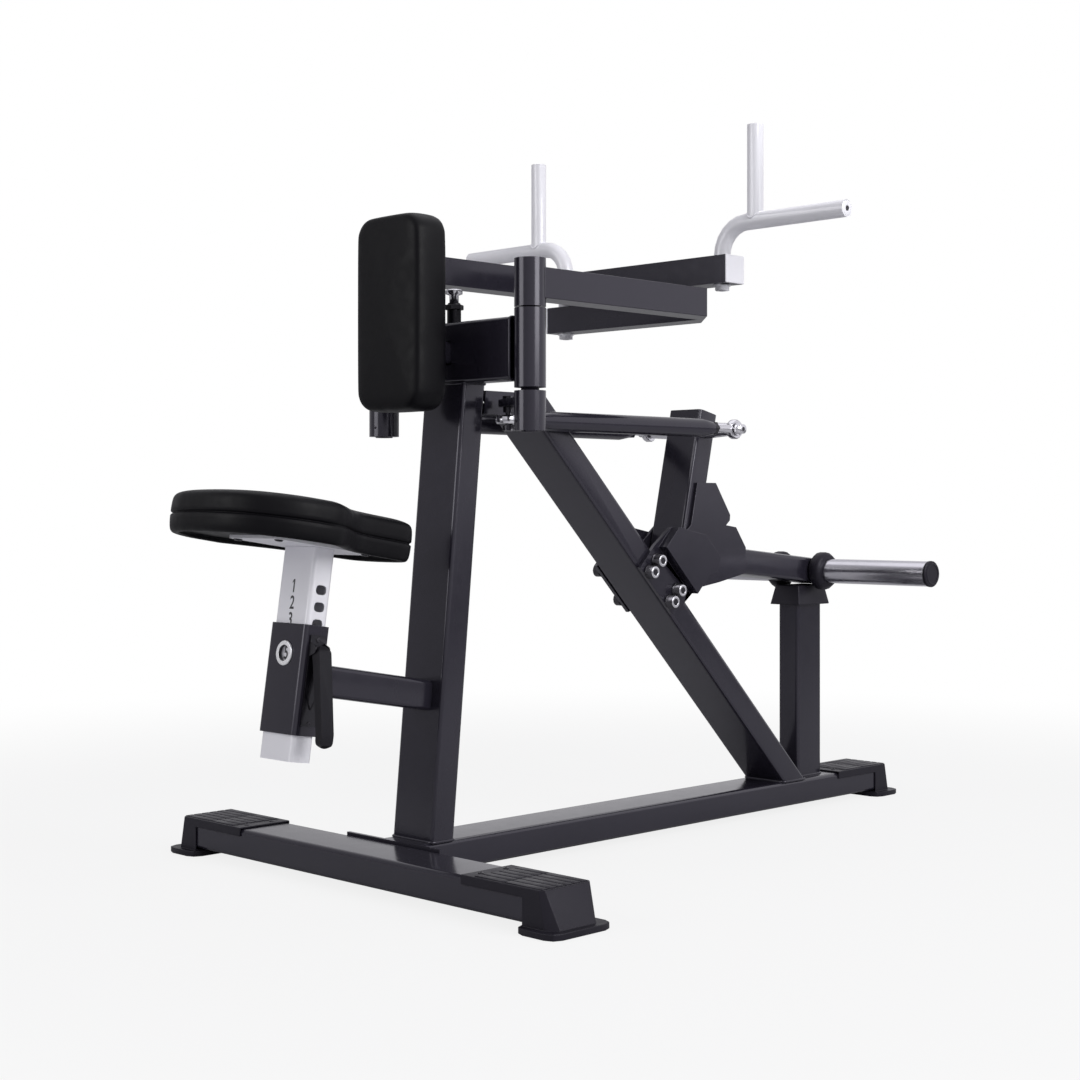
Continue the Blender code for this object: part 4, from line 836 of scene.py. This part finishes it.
@dataclass
class Cushion:
    """A padded piece grown from its CAD solid: crowned, subdivided and covered in vinyl.

    Attributes:
        node: The CAD node that it stands for.
        body: The body that it rides on.
        outward: The way its padded face looks.
        crown: Steps of the crown: how far the edge shrinks towards the middle, and how high it rises.
        fill: How tight it is, from 0 to 1; not used.
        crisp: How sharp its groove stays, from 0 to 1.
        lip: The same of the corner beside the groove, as a share of it.
        flat: Faces of its solid closer than this are one plane, in degrees.
        fold: Edges over this angle are the groove's or that corner's, in radians.
    """

    node: str
    body: Body
    outward: Vector
    crown: Profile = ((0.90, 0.0008), (0.80, 0.0020), (0.75, 0.0030), (0.67, 0.0038), (0.50, 0.0044))
    fill: float = 0.85
    crisp: float = 0.9
    lip: float = 0.6
    flat: float = 0.5
    fold: float = 0.3

    def dress(self) -> None:
        """Build the cushion."""
        work = merged(self.node)
        level = math.radians(self.flat)
        bmesh.ops.dissolve_limit(work, angle_limit=level, verts=work.verts, edges=work.edges)
        work.faces.ensure_lookup_table()
        facing = [f for f in work.faces if f.normal.dot(self.outward) > 0.99]
        top = max(facing, key=lambda f: f.calc_area())
        middle = top.calc_center_median()
        for shrink, rise in self.crown:
            bmesh.ops.inset_region(work, faces=[top], thickness=0.0001)
            goal = middle + self.outward * rise
            for vert in top.verts:
                flat = vert.co - middle
                flat -= self.outward * flat.dot(self.outward)
                vert.co = goal + flat * shrink
        self.crease(work)
        mesh = closed(self.node + "_pad", work, 180)
        obj = put(self.node + "_pad", mesh, Palette.VINYL, self.body)
        smooth = obj.modifiers.new("smooth", "SUBSURF")
        smooth.levels = smooth.render_levels = 2
        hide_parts(self.node)

    def crease(self, work: bmesh.types.BMesh) -> None:
        """Keep the groove and the rim's inner corner crisp under the subdivision.

        Args:
            work: The cushion, before it is subdivided.
        """
        layer = work.edges.layers.float.new("crease_edge")
        for edge in work.edges:
            along = (edge.verts[1].co - edge.verts[0].co).normalized()
            if abs(along.dot(self.outward)) > 0.5 or edge.calc_face_angle_signed(0.0) > -self.fold:
                continue
            edge[layer] = self.crisp
            for face in edge.link_faces:
                for other in face.edges:
                    if other.calc_face_angle_signed(0.0) > self.fold:
                        other[layer] = self.crisp * self.lip


@dataclass
class SeatScale:
    """The numbers on the seat post.

    Attributes:
        marks: Each number and its height up the post.
        face: Distance of the post's user face behind its axis.
        size: Size of the type.
        bold: How far its outline is pushed out.
        thickness: Thickness of the ink.
        narrow: Width of the type, as a share of its usual width.
        aside: How far the numbers stand beside the post's middle.
        stroke: Reach and height of the upper stroke of the 1, and the height of its tip.
        overlap: How far that stroke reaches into the figure.
    """

    marks: tuple[tuple[str, float], ...] = (
        ("1", 0.1425), ("2", 0.1165), ("3", 0.0905), ("4", 0.0645), ("5", 0.0385))
    face: float = 0.0200
    size: float = 0.0290
    bold: float = 0.0005
    thickness: float = 0.00015
    narrow: float = 0.78
    aside: float = 0.002
    stroke: Three = (0.0038, 0.0030, 0.0027)
    overlap: float = 0.0002

    def dress(self, post: Matrix) -> None:
        """Print each number on the post.

        Args:
            post: The post's frame.
        """
        reading = Matrix(((0, 0, -1, 0), (-1, 0, 0, 0), (0, 1, 0, 0), (0, 0, 0, 1)))
        for label, up in self.marks:
            curve = bpy.data.curves.new("number", "FONT")
            curve.body = label
            curve.size = self.size
            curve.align_x, curve.align_y = "CENTER", "CENTER"
            curve.extrude = self.thickness
            curve.offset = self.bold
            work = evaluated(bpy.data.objects.new("number", curve))
            if label == "1":
                self.flag(work)
            thin = Matrix.Diagonal((self.narrow, 1.0, 1.0, 1.0))
            moved(work, post @ place(-self.face, self.aside, up) @ reading @ thin)
            piece(f"scale_{label}", work, Palette.INK, Body.SEAT)

    def flag(self, work: bmesh.types.BMesh) -> None:
        """Add the short upper stroke of a 1, which the built-in type leaves out.

        Args:
            work: The figure, upright in its own XY.
        """
        reach, height, end = self.stroke
        left = min(v.co.x for v in work.verts) + self.overlap
        top = max(v.co.y for v in work.verts)
        tip, fall = left - reach, top - reach
        outline = ((left, top), (left, top - height), (tip, fall - end), (tip, fall))
        face = work.faces.new([work.verts.new((x, y, -self.thickness)) for x, y in outline])
        grown = bmesh.ops.extrude_face_region(work, geom=[face])["geom"]
        upper = [item for item in grown if isinstance(item, bmesh.types.BMVert)]
        bmesh.ops.translate(work, vec=(0.0, 0.0, self.thickness * 2), verts=upper)


@dataclass
class SeatFittings:
    """The small fittings of the seat: painted shade in the window's bore, screws and the lever's spring.

    Attributes:
        post: The seat's frame, at the sleeve's middle.
        side: The sleeve's right face.
        bore_shade: Profile of a dark sleeve in the bore of the window's ring, from its middle, painted shade
            of that bore.
        base_screw: Profile of a screw in the lever's base.
        base_at: Places of those screws up the sleeve.
        spring: The spring's way behind the lever, from the right side.
        spring_radius: Radius of the spring's wire.
        plate_screw: Profile of a screw under the seat, seen from below.
        plate_at: Places of those screws along the seat, how far to each side they lie and their height.
    """

    post: Matrix = field(default_factory=seat_frame)
    side: float = -0.0484
    bore_shade: Profile = ((0.01245, -0.0028), (0.0119, -0.0028), (0.0119, 0.0021), (0.01245, 0.0021),
                       (0.01245, -0.0028))
    base_screw: Profile = ((0.0, 0.0006), (0.0012, 0.0006), (0.0014, 0.0014), (0.0034, 0.0012),
                           (0.0040, 0.0), (0.0, 0.0))
    base_at: tuple[float, float] = (0.0630, -0.0665)
    spring: tuple[Point, ...] = (
        (0.0, -0.0500, 0.022), (0.0, -0.0530, 0.008), (0.0, -0.0605, -0.014), (0.0, -0.0560, -0.030),
        (0.0, -0.0495, -0.044))
    spring_radius: float = 0.0011
    plate_screw: Profile = ((0.0, 0.001), (0.0026, 0.001), (0.0030, -0.0015), (0.0052, -0.0018),
                            (0.0068, -0.0002), (0.0070, 0.002), (0.0, 0.002))
    plate_at: tuple[tuple[float, float], float, float] = ((-0.100, 0.070), 0.052, 0.2045)

    def dress(self) -> None:
        """Build every fitting of the seat."""
        SeatScale().dress(self.post)
        self.window()
        screws = bmesh.new()
        for up in self.base_at:
            join(screws, lathe(self.base_screw, 24), self.post @ place(0, self.side, up) @ turn(90, "X"))
        piece("lever_base_screws", screws, Palette.BOLT, Body.FRAME)
        coil = wire("spring", [Vector(at) for at in self.spring], self.spring_radius)
        piece("lever_spring", moved(coil, self.post), Palette.FITTING, Body.FRAME)
        heads = bmesh.new()
        along, out, up = self.plate_at
        for x in along:
            for y in (-out, out):
                join(heads, lathe(self.plate_screw, 24), self.post @ place(x, y, up))
        piece("seat_plate_screws", heads, Palette.FITTING, Body.SEAT)

    def window(self) -> None:
        """Line the bore of the window's ring with a dark sleeve, as painted shade."""
        low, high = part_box("window_ring")
        middle = Matrix.Translation((Vector(low) + Vector(high)) / 2)
        facing = self.post.to_3x3().to_4x4() @ turn(-90, "Y")
        # The dark sleeve is painted shade inside the ring's bore.
        piece("window_bore_shade", moved(lathe(self.bore_shade), middle @ facing), Palette.FITTING, Body.FRAME, 60)


@dataclass
class Hardware:
    """Small hardware: chrome rings on bolt heads as painted glints, dark hexagons as painted shade of hex
    recesses, jam nuts, hub screws, the horns' rings and the pull pin's hexagon.

    Attributes:
        bolts: The bolts whose heads get a chrome ring, a painted highlight of their lit edge.
        rim: Profile of a chrome ring round the hex recess on a bolt's dark head, painted as its highlight.
        socket_shade: Profile of a dark hexagon over that recess, painted shade of its inside.
        ring: Profile of the ring in a horn's end cap.
        nut: Inner radius, radius and height of the pull pin's hexagon.
        nut_drop: How far its top lies under the top of the pin's boss.
        jam_nut: Inner radius, radius and length of a tie rod's jam nut.
        jam_nut_at: Distances of the jam nuts' ends from the front eye, towards the crank.
        front_eye: Place of the right tie rod's front eye.
        rod_way: The way from there to the crank.
        axle_socket_shade: Size of the dark hexagons on the rods' axle, painted shade of its hex recesses, as
            a share of the bolts'.
        hub_screw: Radius of the crank's hub, the height of its screw and its turn from the hub's front.
        sunk: Profile of that screw.
    """

    bolts: tuple[str, ...] = ("bracket_bolt_1", "bracket_bolt_2", "bracket_bolt_3", "bracket_bolt_4")
    rim: Profile = ((0.0062, -0.001), (0.0062, 0.0003), (0.0070, 0.0007), (0.0098, 0.0007),
                    (0.0108, 0.0002), (0.0112, -0.001), (0.0062, -0.001))
    socket_shade: Profile = ((0.0, -0.001), (0.0060, -0.001), (0.0060, 0.0002), (0.0, 0.0002))
    ring: Profile = ((0.0176, -0.001), (0.0176, 0.0006), (0.0184, 0.0010), (0.0200, 0.0010),
                     (0.0208, 0.0005), (0.0210, -0.001), (0.0176, -0.001))
    nut: Three = (0.0114, 0.0165, 0.0085)
    nut_drop: float = 0.003
    jam_nut: Three = (0.006, 0.0134, 0.0086)
    jam_nut_at: tuple[float, float] = (0.0533, 0.5049)
    front_eye: Point = (0.2608, -0.107, 0.757)
    rod_way: Point = (-0.99865, 0.0519, 0.0)
    axle_socket_shade: float = 0.72
    hub_screw: Three = (0.0260, 0.7490, 14.0)
    sunk: Profile = ((0.0, 0.0003), (0.0022, 0.0003), (0.0026, -0.0012), (0.0, -0.0012))

    def facing(self, node: str, side: int) -> Matrix:
        """Return a frame on a node's end face, with +Z out of it along Y.

        Args:
            node: The CAD node.
            side: Which end, -1 or 1.

        Returns:
            The frame.
        """
        low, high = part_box(node)
        y = low[1] if side < 0 else high[1]
        return place((low[0] + high[0]) / 2, y, (low[2] + high[2]) / 2) @ turn(-90 * side, "X")

    def jam_nuts(self, side: int) -> bmesh.types.BMesh:
        """Make the dark jam nuts at both ends of a tie rod.

        Args:
            side: The rod's side, -1 on the right.

        Returns:
            Both nuts.
        """
        eye = Vector((self.front_eye[0], -side * self.front_eye[1], self.front_eye[2]))
        way = Vector((self.rod_way[0], -side * self.rod_way[1], self.rod_way[2]))
        turned = way.to_track_quat("Z", "Y").to_matrix().to_4x4()
        work = bmesh.new()
        for start in self.jam_nut_at:
            join(work, hexagon(*self.jam_nut), Matrix.Translation(eye + way * start) @ turned)
        return work

    def screw(self, side: int) -> bmesh.types.BMesh:
        """Make the small sunk screw in a crank's hub.

        Args:
            side: The hub's side, -1 on the right.

        Returns:
            The screw.
        """
        radius, height, angle = self.hub_screw
        low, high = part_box("post_sleeve_right" if side < 0 else "post_sleeve_left")
        centre = place((low[0] + high[0]) / 2, (low[1] + high[1]) / 2, height)
        face = centre @ turn(angle * side, "Z") @ place(-radius, 0, 0) @ turn(-90, "Y")
        return moved(lathe(self.sunk, 20), face)

    def dress(self) -> None:
        """Build the hardware."""
        # Each dark bolt head gets a chrome ring as a painted highlight and a dark hexagon as painted shade
        # in its recess.
        glints, socket_shades = bmesh.new(), bmesh.new()
        for node in self.bolts:
            join(glints, lathe(self.rim, 24), self.facing(node, -1))
            join(socket_shades, lathe(self.socket_shade, 6), self.facing(node, -1))
        piece("bolt_rim_glints", glints, Palette.CHROME, Body.FRAME, 60)
        piece("bolt_socket_shades", socket_shades, Palette.FITTING, Body.FRAME)
        rings = bmesh.new()
        for name, side in (("horn_cap_right", -1), ("horn_cap_left", 1)):
            join(rings, lathe(self.ring), self.facing(name, side))
        piece("horn_cap_rings", rings, Palette.RUBBER, Body.ROCKER, 60)
        # The rods' axle gets dark hexagons as painted shade in its hex recesses.
        socket_shades = bmesh.new()
        for side in (-1, 1):
            floor = lathe([(radius * self.axle_socket_shade, up) for radius, up in self.socket_shade], 6)
            join(socket_shades, floor, self.facing("rod_axle", side))
        piece("axle_socket_shades", socket_shades, Palette.FITTING, Body.ROCKER)
        for name, side, arm, rod in (("right", -1, Body.RIGHT_ARM, Body.RIGHT_ROD),
                                     ("left", 1, Body.LEFT_ARM, Body.LEFT_ROD)):
            piece(f"jam_nuts_{name}", self.jam_nuts(side), Palette.FITTING, rod)
            piece(f"hub_screw_{name}", self.screw(side), Palette.RUBBER, arm)
        low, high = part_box("pull_pin_boss")
        under = high[2] - self.nut[2] - self.nut_drop
        at = place((low[0] + high[0]) / 2, (low[1] + high[1]) / 2, under)
        nut = moved(hexagon(*self.nut), at @ turn(30, "Z"))
        piece("pull_pin_hexagon", nut, Palette.PLASTIC, Body.FRAME)


@dataclass
class HandleTrim:
    """End plugs and weld rings of both handles.

    Attributes:
        grip_z: Height of the level grips.
        end_y: Where a level grip ends.
        upright_y: Where an upright grip stands.
        x: The handles' place along the machine.
        grip: Radius of the grips.
        dip: How far across the weld follows the level grip's curve.
        bead: Radius of the weld's bead.
        ring: Profile of the plug in a level grip's end.
        hole: Profile of a dark disc in the middle of that plug, painted shade of its opening.
    """

    grip_z: float = 1.115
    end_y: float = 0.4654
    upright_y: float = 0.270
    x: float = 0.1175
    grip: float = 0.0150
    dip: float = 0.0145
    bead: float = 0.0018
    ring: Profile = ((0.0, -0.001), (0.0132, -0.001), (0.0132, 0.0), (0.0118, 0.0009), (0.0055, 0.0010),
                     (0.0050, 0.0006), (0.0, 0.0006))
    hole: Profile = ((0.0, 0.0002), (0.0046, 0.0002), (0.0046, 0.0009), (0.0, 0.0009))

    def dress(self) -> None:
        """Build the trim of both handles."""
        for name, side, body in (("left", 1, Body.RIGHT_ARM), ("right", -1, Body.LEFT_ARM)):
            end = place(self.x, side * self.end_y, self.grip_z) @ turn(-90 * side, "X")
            # The dark disc in each plug's middle is painted shade of its opening.
            plugs = (("ring", self.ring, Palette.SILVER), ("hole", self.hole, Palette.FITTING))
            for part, profile, finish in plugs:
                piece(f"grip_{part}_{name}", moved(lathe(profile, 32), end), finish, body)
            seam = [self.saddle(math.tau * i / 32, side) for i in range(32)]
            piece(f"grip_weld_{name}", wire("seam", seam, self.bead, loop=True), Palette.SILVER, body, 60)

    def saddle(self, angle: float, side: int) -> Vector:
        """Return a point of the seam where an upright grip meets the level one.

        Args:
            angle: The point's angle round the upright grip.
            side: The handle's side, -1 on the right.

        Returns:
            The point.
        """
        height = math.sqrt(max(self.grip ** 2 - (self.dip * math.cos(angle)) ** 2, 0.0))
        return Vector((self.x + self.grip * math.cos(angle),
                       side * (self.upright_y + self.grip * math.sin(angle)),
                       self.grip_z + height))


@dataclass(frozen=True)
class Lamp:
    """One soft lamp of the studio.

    Attributes:
        name: Its name.
        at: Where it hangs.
        size: Its width.
        power: Its power in watts.
        tint: Its colour.
    """

    name: str
    at: Point
    size: float
    power: float
    tint: Color = (1.0, 1.0, 1.0)

    def hang(self, aim: Point) -> None:
        """Hang the lamp in the scene.

        Args:
            aim: The point that it looks at.
        """
        light = bpy.data.lights.new(self.name, "AREA")
        light.shape = "SQUARE"
        light.size = self.size
        light.energy = self.power
        light.color = self.tint
        obj = bpy.data.objects.new(self.name, light)
        bpy.context.scene.collection.objects.link(obj)
        obj.location = self.at
        obj.rotation_euler = (Vector(aim) - Vector(self.at)).to_track_quat("-Z", "Y").to_euler()


@dataclass(frozen=True)
class Studio:
    """The floor, the backdrop's light, the lamps and the camera.

    Attributes:
        aim: The point that the lamps look at.
        lamps: The lamps.
        bright_side: The way to the bright side of the surround.
        light: Strength of the surround as a light, on its dim and its bright side.
        light_color: Its colour there.
        mirrored: Its strength in reflections, on both sides.
        mirrored_color: Its colour there.
        floor_color: Colour of the floor.
        floor_half: Half the floor's width.
        floor_drop: How far it lies under the feet.
        fade: Distances from the machine between which the floor fades into the surround.
        lit: How much of the surround's white the floor shows beside the machine.
        eye: Place of the camera.
        lens: Its focal length in millimetres, on a sensor 36 wide.
        shift: Its vertical shift.
    """

    aim: Point = (0.0, 0.0, 0.6)
    lamps: tuple[Lamp, ...] = (
        Lamp("key", (0.2, -3.7, 2.3), 2.4, 105.0),
        Lamp("overhead", (0.4, 0.6, 3.4), 3.0, 19.0, (0.97, 0.965, 1.0)),
        Lamp("fill", (-3.8, 1.2, 1.8), 2.2, 46.0),
    )
    bright_side: Point = (0.75, -0.65, 0.05)
    light: tuple[float, float] = (0.20, 0.62)
    light_color: Color = (0.97, 0.965, 1.0)
    mirrored: tuple[float, float] = (0.40, 0.97)
    mirrored_color: Color = (0.97, 0.96, 1.0)
    floor_color: Color = (0.56, 0.56, 0.57)
    floor_half: float = 40.0
    floor_drop: float = 0.0004
    fade: tuple[float, float] = (1.1, 3.0)
    lit: float = 0.84
    eye: Point = (-2.4239, -2.2750, 0.6110)
    lens: float = 60.83
    shift: float = -0.0306

    def world(self) -> None:
        """Make a white surround for the camera and for reflections, softer as a light."""
        world = bpy.data.worlds.new("studio")
        bpy.context.scene.world = world
        world.use_nodes = True
        tree = world.node_tree
        tree.nodes.clear()
        out = tree.nodes.new("ShaderNodeOutputWorld")
        rays = tree.nodes.new("ShaderNodeLightPath")
        seen = tree.nodes.new("ShaderNodeMath")
        seen.operation = "MAXIMUM"
        tree.links.new(rays.outputs["Is Camera Ray"], seen.inputs[0])
        tree.links.new(rays.outputs["Is Transmission Ray"], seen.inputs[1])
        white = self.glow(tree, (1.0, 1.0, 1.0))
        soft = self.glow(tree, self.light_color, self.light)
        shine = self.glow(tree, self.mirrored_color, self.mirrored)
        unseen = self.choice(tree, rays.outputs["Is Glossy Ray"], soft, shine)
        shown = self.choice(tree, seen.outputs[0], unseen, white)
        tree.links.new(shown, out.inputs["Surface"])

    def glow(self, tree: bpy.types.NodeTree, color: Color,
             strength: tuple[float, float] | None = None) -> bpy.types.NodeSocket:
        """Make one light of the surround.

        Args:
            tree: The world's nodes.
            color: Its colour.
            strength: Its strength on the dim and on the bright side, or None for an even 1.

        Returns:
            The light's socket.
        """
        made = tree.nodes.new("ShaderNodeBackground")
        made.inputs["Color"].default_value = (*color, 1.0)
        if strength:
            tree.links.new(self.facing(tree, *strength), made.inputs["Strength"])
        return made.outputs[0]

    def choice(self, tree: bpy.types.NodeTree, switch: bpy.types.NodeSocket, off: bpy.types.NodeSocket,
               on: bpy.types.NodeSocket) -> bpy.types.NodeSocket:
        """Choose between two lights of the surround.

        Args:
            tree: The world's nodes.
            switch: The socket that chooses.
            off: The light at 0.
            on: The light at 1.

        Returns:
            The chosen light's socket.
        """
        mix = tree.nodes.new("ShaderNodeMixShader")
        tree.links.new(switch, mix.inputs["Fac"])
        tree.links.new(off, mix.inputs[1])
        tree.links.new(on, mix.inputs[2])
        return mix.outputs[0]

    def facing(self, tree: bpy.types.NodeTree, near: float, far: float) -> bpy.types.NodeSocket:
        """Grade the surround from one side of the room to the other.

        Args:
            tree: The world's nodes.
            near: Strength on the dim side.
            far: Strength on the bright side.

        Returns:
            The strength's socket.
        """
        coords = tree.nodes.new("ShaderNodeTexCoord")
        dot = tree.nodes.new("ShaderNodeVectorMath")
        dot.operation = "DOT_PRODUCT"
        dot.inputs[1].default_value = self.bright_side
        tree.links.new(coords.outputs["Generated"], dot.inputs[0])
        span = tree.nodes.new("ShaderNodeMapRange")
        span.inputs["From Min"].default_value = -1.0
        span.inputs["From Max"].default_value = 1.0
        span.inputs["To Min"].default_value = near
        span.inputs["To Max"].default_value = far
        tree.links.new(dot.outputs["Value"], span.inputs["Value"])
        return span.outputs["Result"]

    def floor(self) -> None:
        """Lay a pale floor that keeps the machine's shadow and fades into the surround."""
        work = bmesh.new()
        bmesh.ops.create_grid(work, x_segments=1, y_segments=1, size=self.floor_half)
        mesh = bpy.data.meshes.new("floor")
        work.to_mesh(mesh)
        work.free()
        obj = bpy.data.objects.new("floor", mesh)
        bpy.context.scene.collection.objects.link(obj)
        obj.location.z = -self.floor_drop
        sheet = NodeSheet("pale_floor")
        sheet.shader.inputs["Roughness"].default_value = 0.9
        sheet.shader.inputs["Specular IOR Level"].default_value = 0.1
        sheet.shader.inputs["Base Color"].default_value = (*self.floor_color, 1.0)
        rays = sheet.node("LightPath")
        near = sheet.node("VectorMath", operation="LENGTH")
        sheet.link(sheet.coords, near.inputs[0])
        fade = sheet.node("MapRange")
        fade.interpolation_type = "SMOOTHSTEP"
        fade.inputs["From Min"].default_value = self.fade[0]
        fade.inputs["From Max"].default_value = self.fade[1]
        fade.inputs["To Min"].default_value = self.lit
        fade.inputs["To Max"].default_value = 1.0
        sheet.link(near.outputs["Value"], fade.inputs["Value"])
        seen = sheet.node("Math", operation="MULTIPLY")
        sheet.link(rays.outputs["Is Camera Ray"], seen.inputs[0])
        sheet.link(fade.outputs["Result"], seen.inputs[1])
        glow = sheet.node("Emission", strength=1.0)
        mix = sheet.node("MixShader")
        out = sheet.tree.nodes["Material Output"]
        sheet.link(seen.outputs[0], mix.inputs["Fac"])
        sheet.link(sheet.shader.outputs[0], mix.inputs[1])
        sheet.link(glow.outputs[0], mix.inputs[2])
        sheet.link(mix.outputs[0], out.inputs["Surface"])
        mesh.materials.append(sheet.material)

    def camera(self) -> None:
        """Place the camera at the photograph's view."""
        lens = bpy.data.cameras.new("camera")
        lens.lens = self.lens
        lens.sensor_width = 36.0
        lens.shift_y = self.shift
        obj = bpy.data.objects.new("camera", lens)
        bpy.context.scene.collection.objects.link(obj)
        obj.location = self.eye
        obj.rotation_euler = Vector((1, 1, 0)).to_track_quat("-Z", "Y").to_euler()
        bpy.context.scene.camera = obj

    def dress(self) -> None:
        """Set up the whole studio."""
        bpy.context.scene.view_settings.view_transform = "Standard"
        self.world()
        self.floor()
        for lamp in self.lamps:
            lamp.hang(self.aim)
        self.camera()


CARRIED = (
    Carried(Body.FRAME, Palette.FRAME, (
        "front_cross_beam", "base_beam", "main_upright", "diagonal_beam", "top_brace", "rear_stop_post",
        "pivot_bracket", "post_sleeve_right", "post_sleeve_left", "seat_arm_tube", "seat_sleeve")),
    Carried(Body.FRAME, Palette.FRAME, ("bearing_bracket_right", "bearing_bracket_left"),
            0.0012, sharp=18.0),
    Carried(Body.FRAME, Palette.RUBBER, ("end_cap_rear", "end_cap_left", "end_cap_right"), 0.0035, 3),
    Carried(Body.FRAME, Palette.RUBBER, ("stop_cap",), 0.0025, 3),
    Carried(Body.FRAME, Palette.PLASTIC, ("pull_pin_boss",)),
    Carried(Body.FRAME, Palette.FITTING, ("lever_base",), 0.0005),
    Carried(Body.FRAME, Palette.BOLT, (
        "bracket_bolt_1", "bracket_bolt_2", "bracket_bolt_3", "bracket_bolt_4")),
    Carried(Body.FRAME, Palette.CHROME, ("pivot_shaft",)),
    # The window's ring takes the paler plating, whose extra brightness is painted light.
    Carried(Body.FRAME, Palette.LIT_PLATING, ("window_ring",), 0.0006),
    Carried(Body.RIGHT_ARM, Palette.FRAME, ("arm_tube_right",), 0.0045, 4),
    Carried(Body.LEFT_ARM, Palette.FRAME, ("arm_tube_left",), 0.0045, 4),
    Carried(Body.RIGHT_ARM, Palette.FRAME, ("arm_post_right", "crank_right")),
    Carried(Body.LEFT_ARM, Palette.FRAME, ("arm_post_left", "crank_left")),
    Carried(Body.RIGHT_ARM, Palette.FITTING, ("crank_bolt_right",)),
    Carried(Body.LEFT_ARM, Palette.FITTING, ("crank_bolt_left",)),
    Carried(Body.RIGHT_ARM, Palette.SILVER, ("arm_plug_right", "handle_left")),
    Carried(Body.LEFT_ARM, Palette.SILVER, ("arm_plug_left", "handle_right")),
    Carried(Body.ROCKER, Palette.FRAME, ("rocker_tube", "horn_arm")),
    Carried(Body.ROCKER, Palette.FRAME, ("rocker_hub",), 0.0008, sharp=18.0),
    Carried(Body.ROCKER, Palette.CHROME, ("rod_axle",)),
    Carried(Body.ROCKER, Palette.HORN, ("horn_bar",)),
    Carried(Body.ROCKER, Palette.RUBBER, (
        "horn_collar_right", "horn_collar_left", "horn_cap_right", "horn_cap_left")),
    Carried(Body.RIGHT_ROD, Palette.FRAME, ("tie_rod_right",)),
    Carried(Body.LEFT_ROD, Palette.FRAME, ("tie_rod_left",)),
    Carried(Body.RIGHT_ROD, Palette.CHROME, ("rear_eye_right", "front_eye_right")),
    Carried(Body.LEFT_ROD, Palette.CHROME, ("rear_eye_left", "front_eye_left")),
    Carried(Body.SEAT, Palette.SILVER, ("seat_post", "seat_plate")),
    Carried(Body.LOCK_PIN, Palette.CHROME, ("lock_pin",)),
    Carried(Body.CHEST, Palette.FRAME, ("chest_carriage",), 0.0008),
    Carried(Body.PULL_PIN, Palette.CHROME, ("chest_pull_pin",)),
)


def main() -> None:
    """Dress the machine piece by piece, then set up the studio."""
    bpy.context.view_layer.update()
    for carried in CARRIED:
        carried.dress()
    Lever().dress()
    Treads().dress()
    WeldBeads().dress()
    seat_up = (leaning(0, 0, SEAT_LEAN) @ Vector((0, 0, 1))).normalized()
    Cushion("seat_cushion", Body.SEAT, seat_up).dress()
    Cushion("chest_pad", Body.CHEST, Vector((-1, 0, 0))).dress()
    SeatFittings().dress()
    HandleTrim().dress()
    Hardware().dress()
    Studio().dress()


if __name__ == "__main__":
    main()
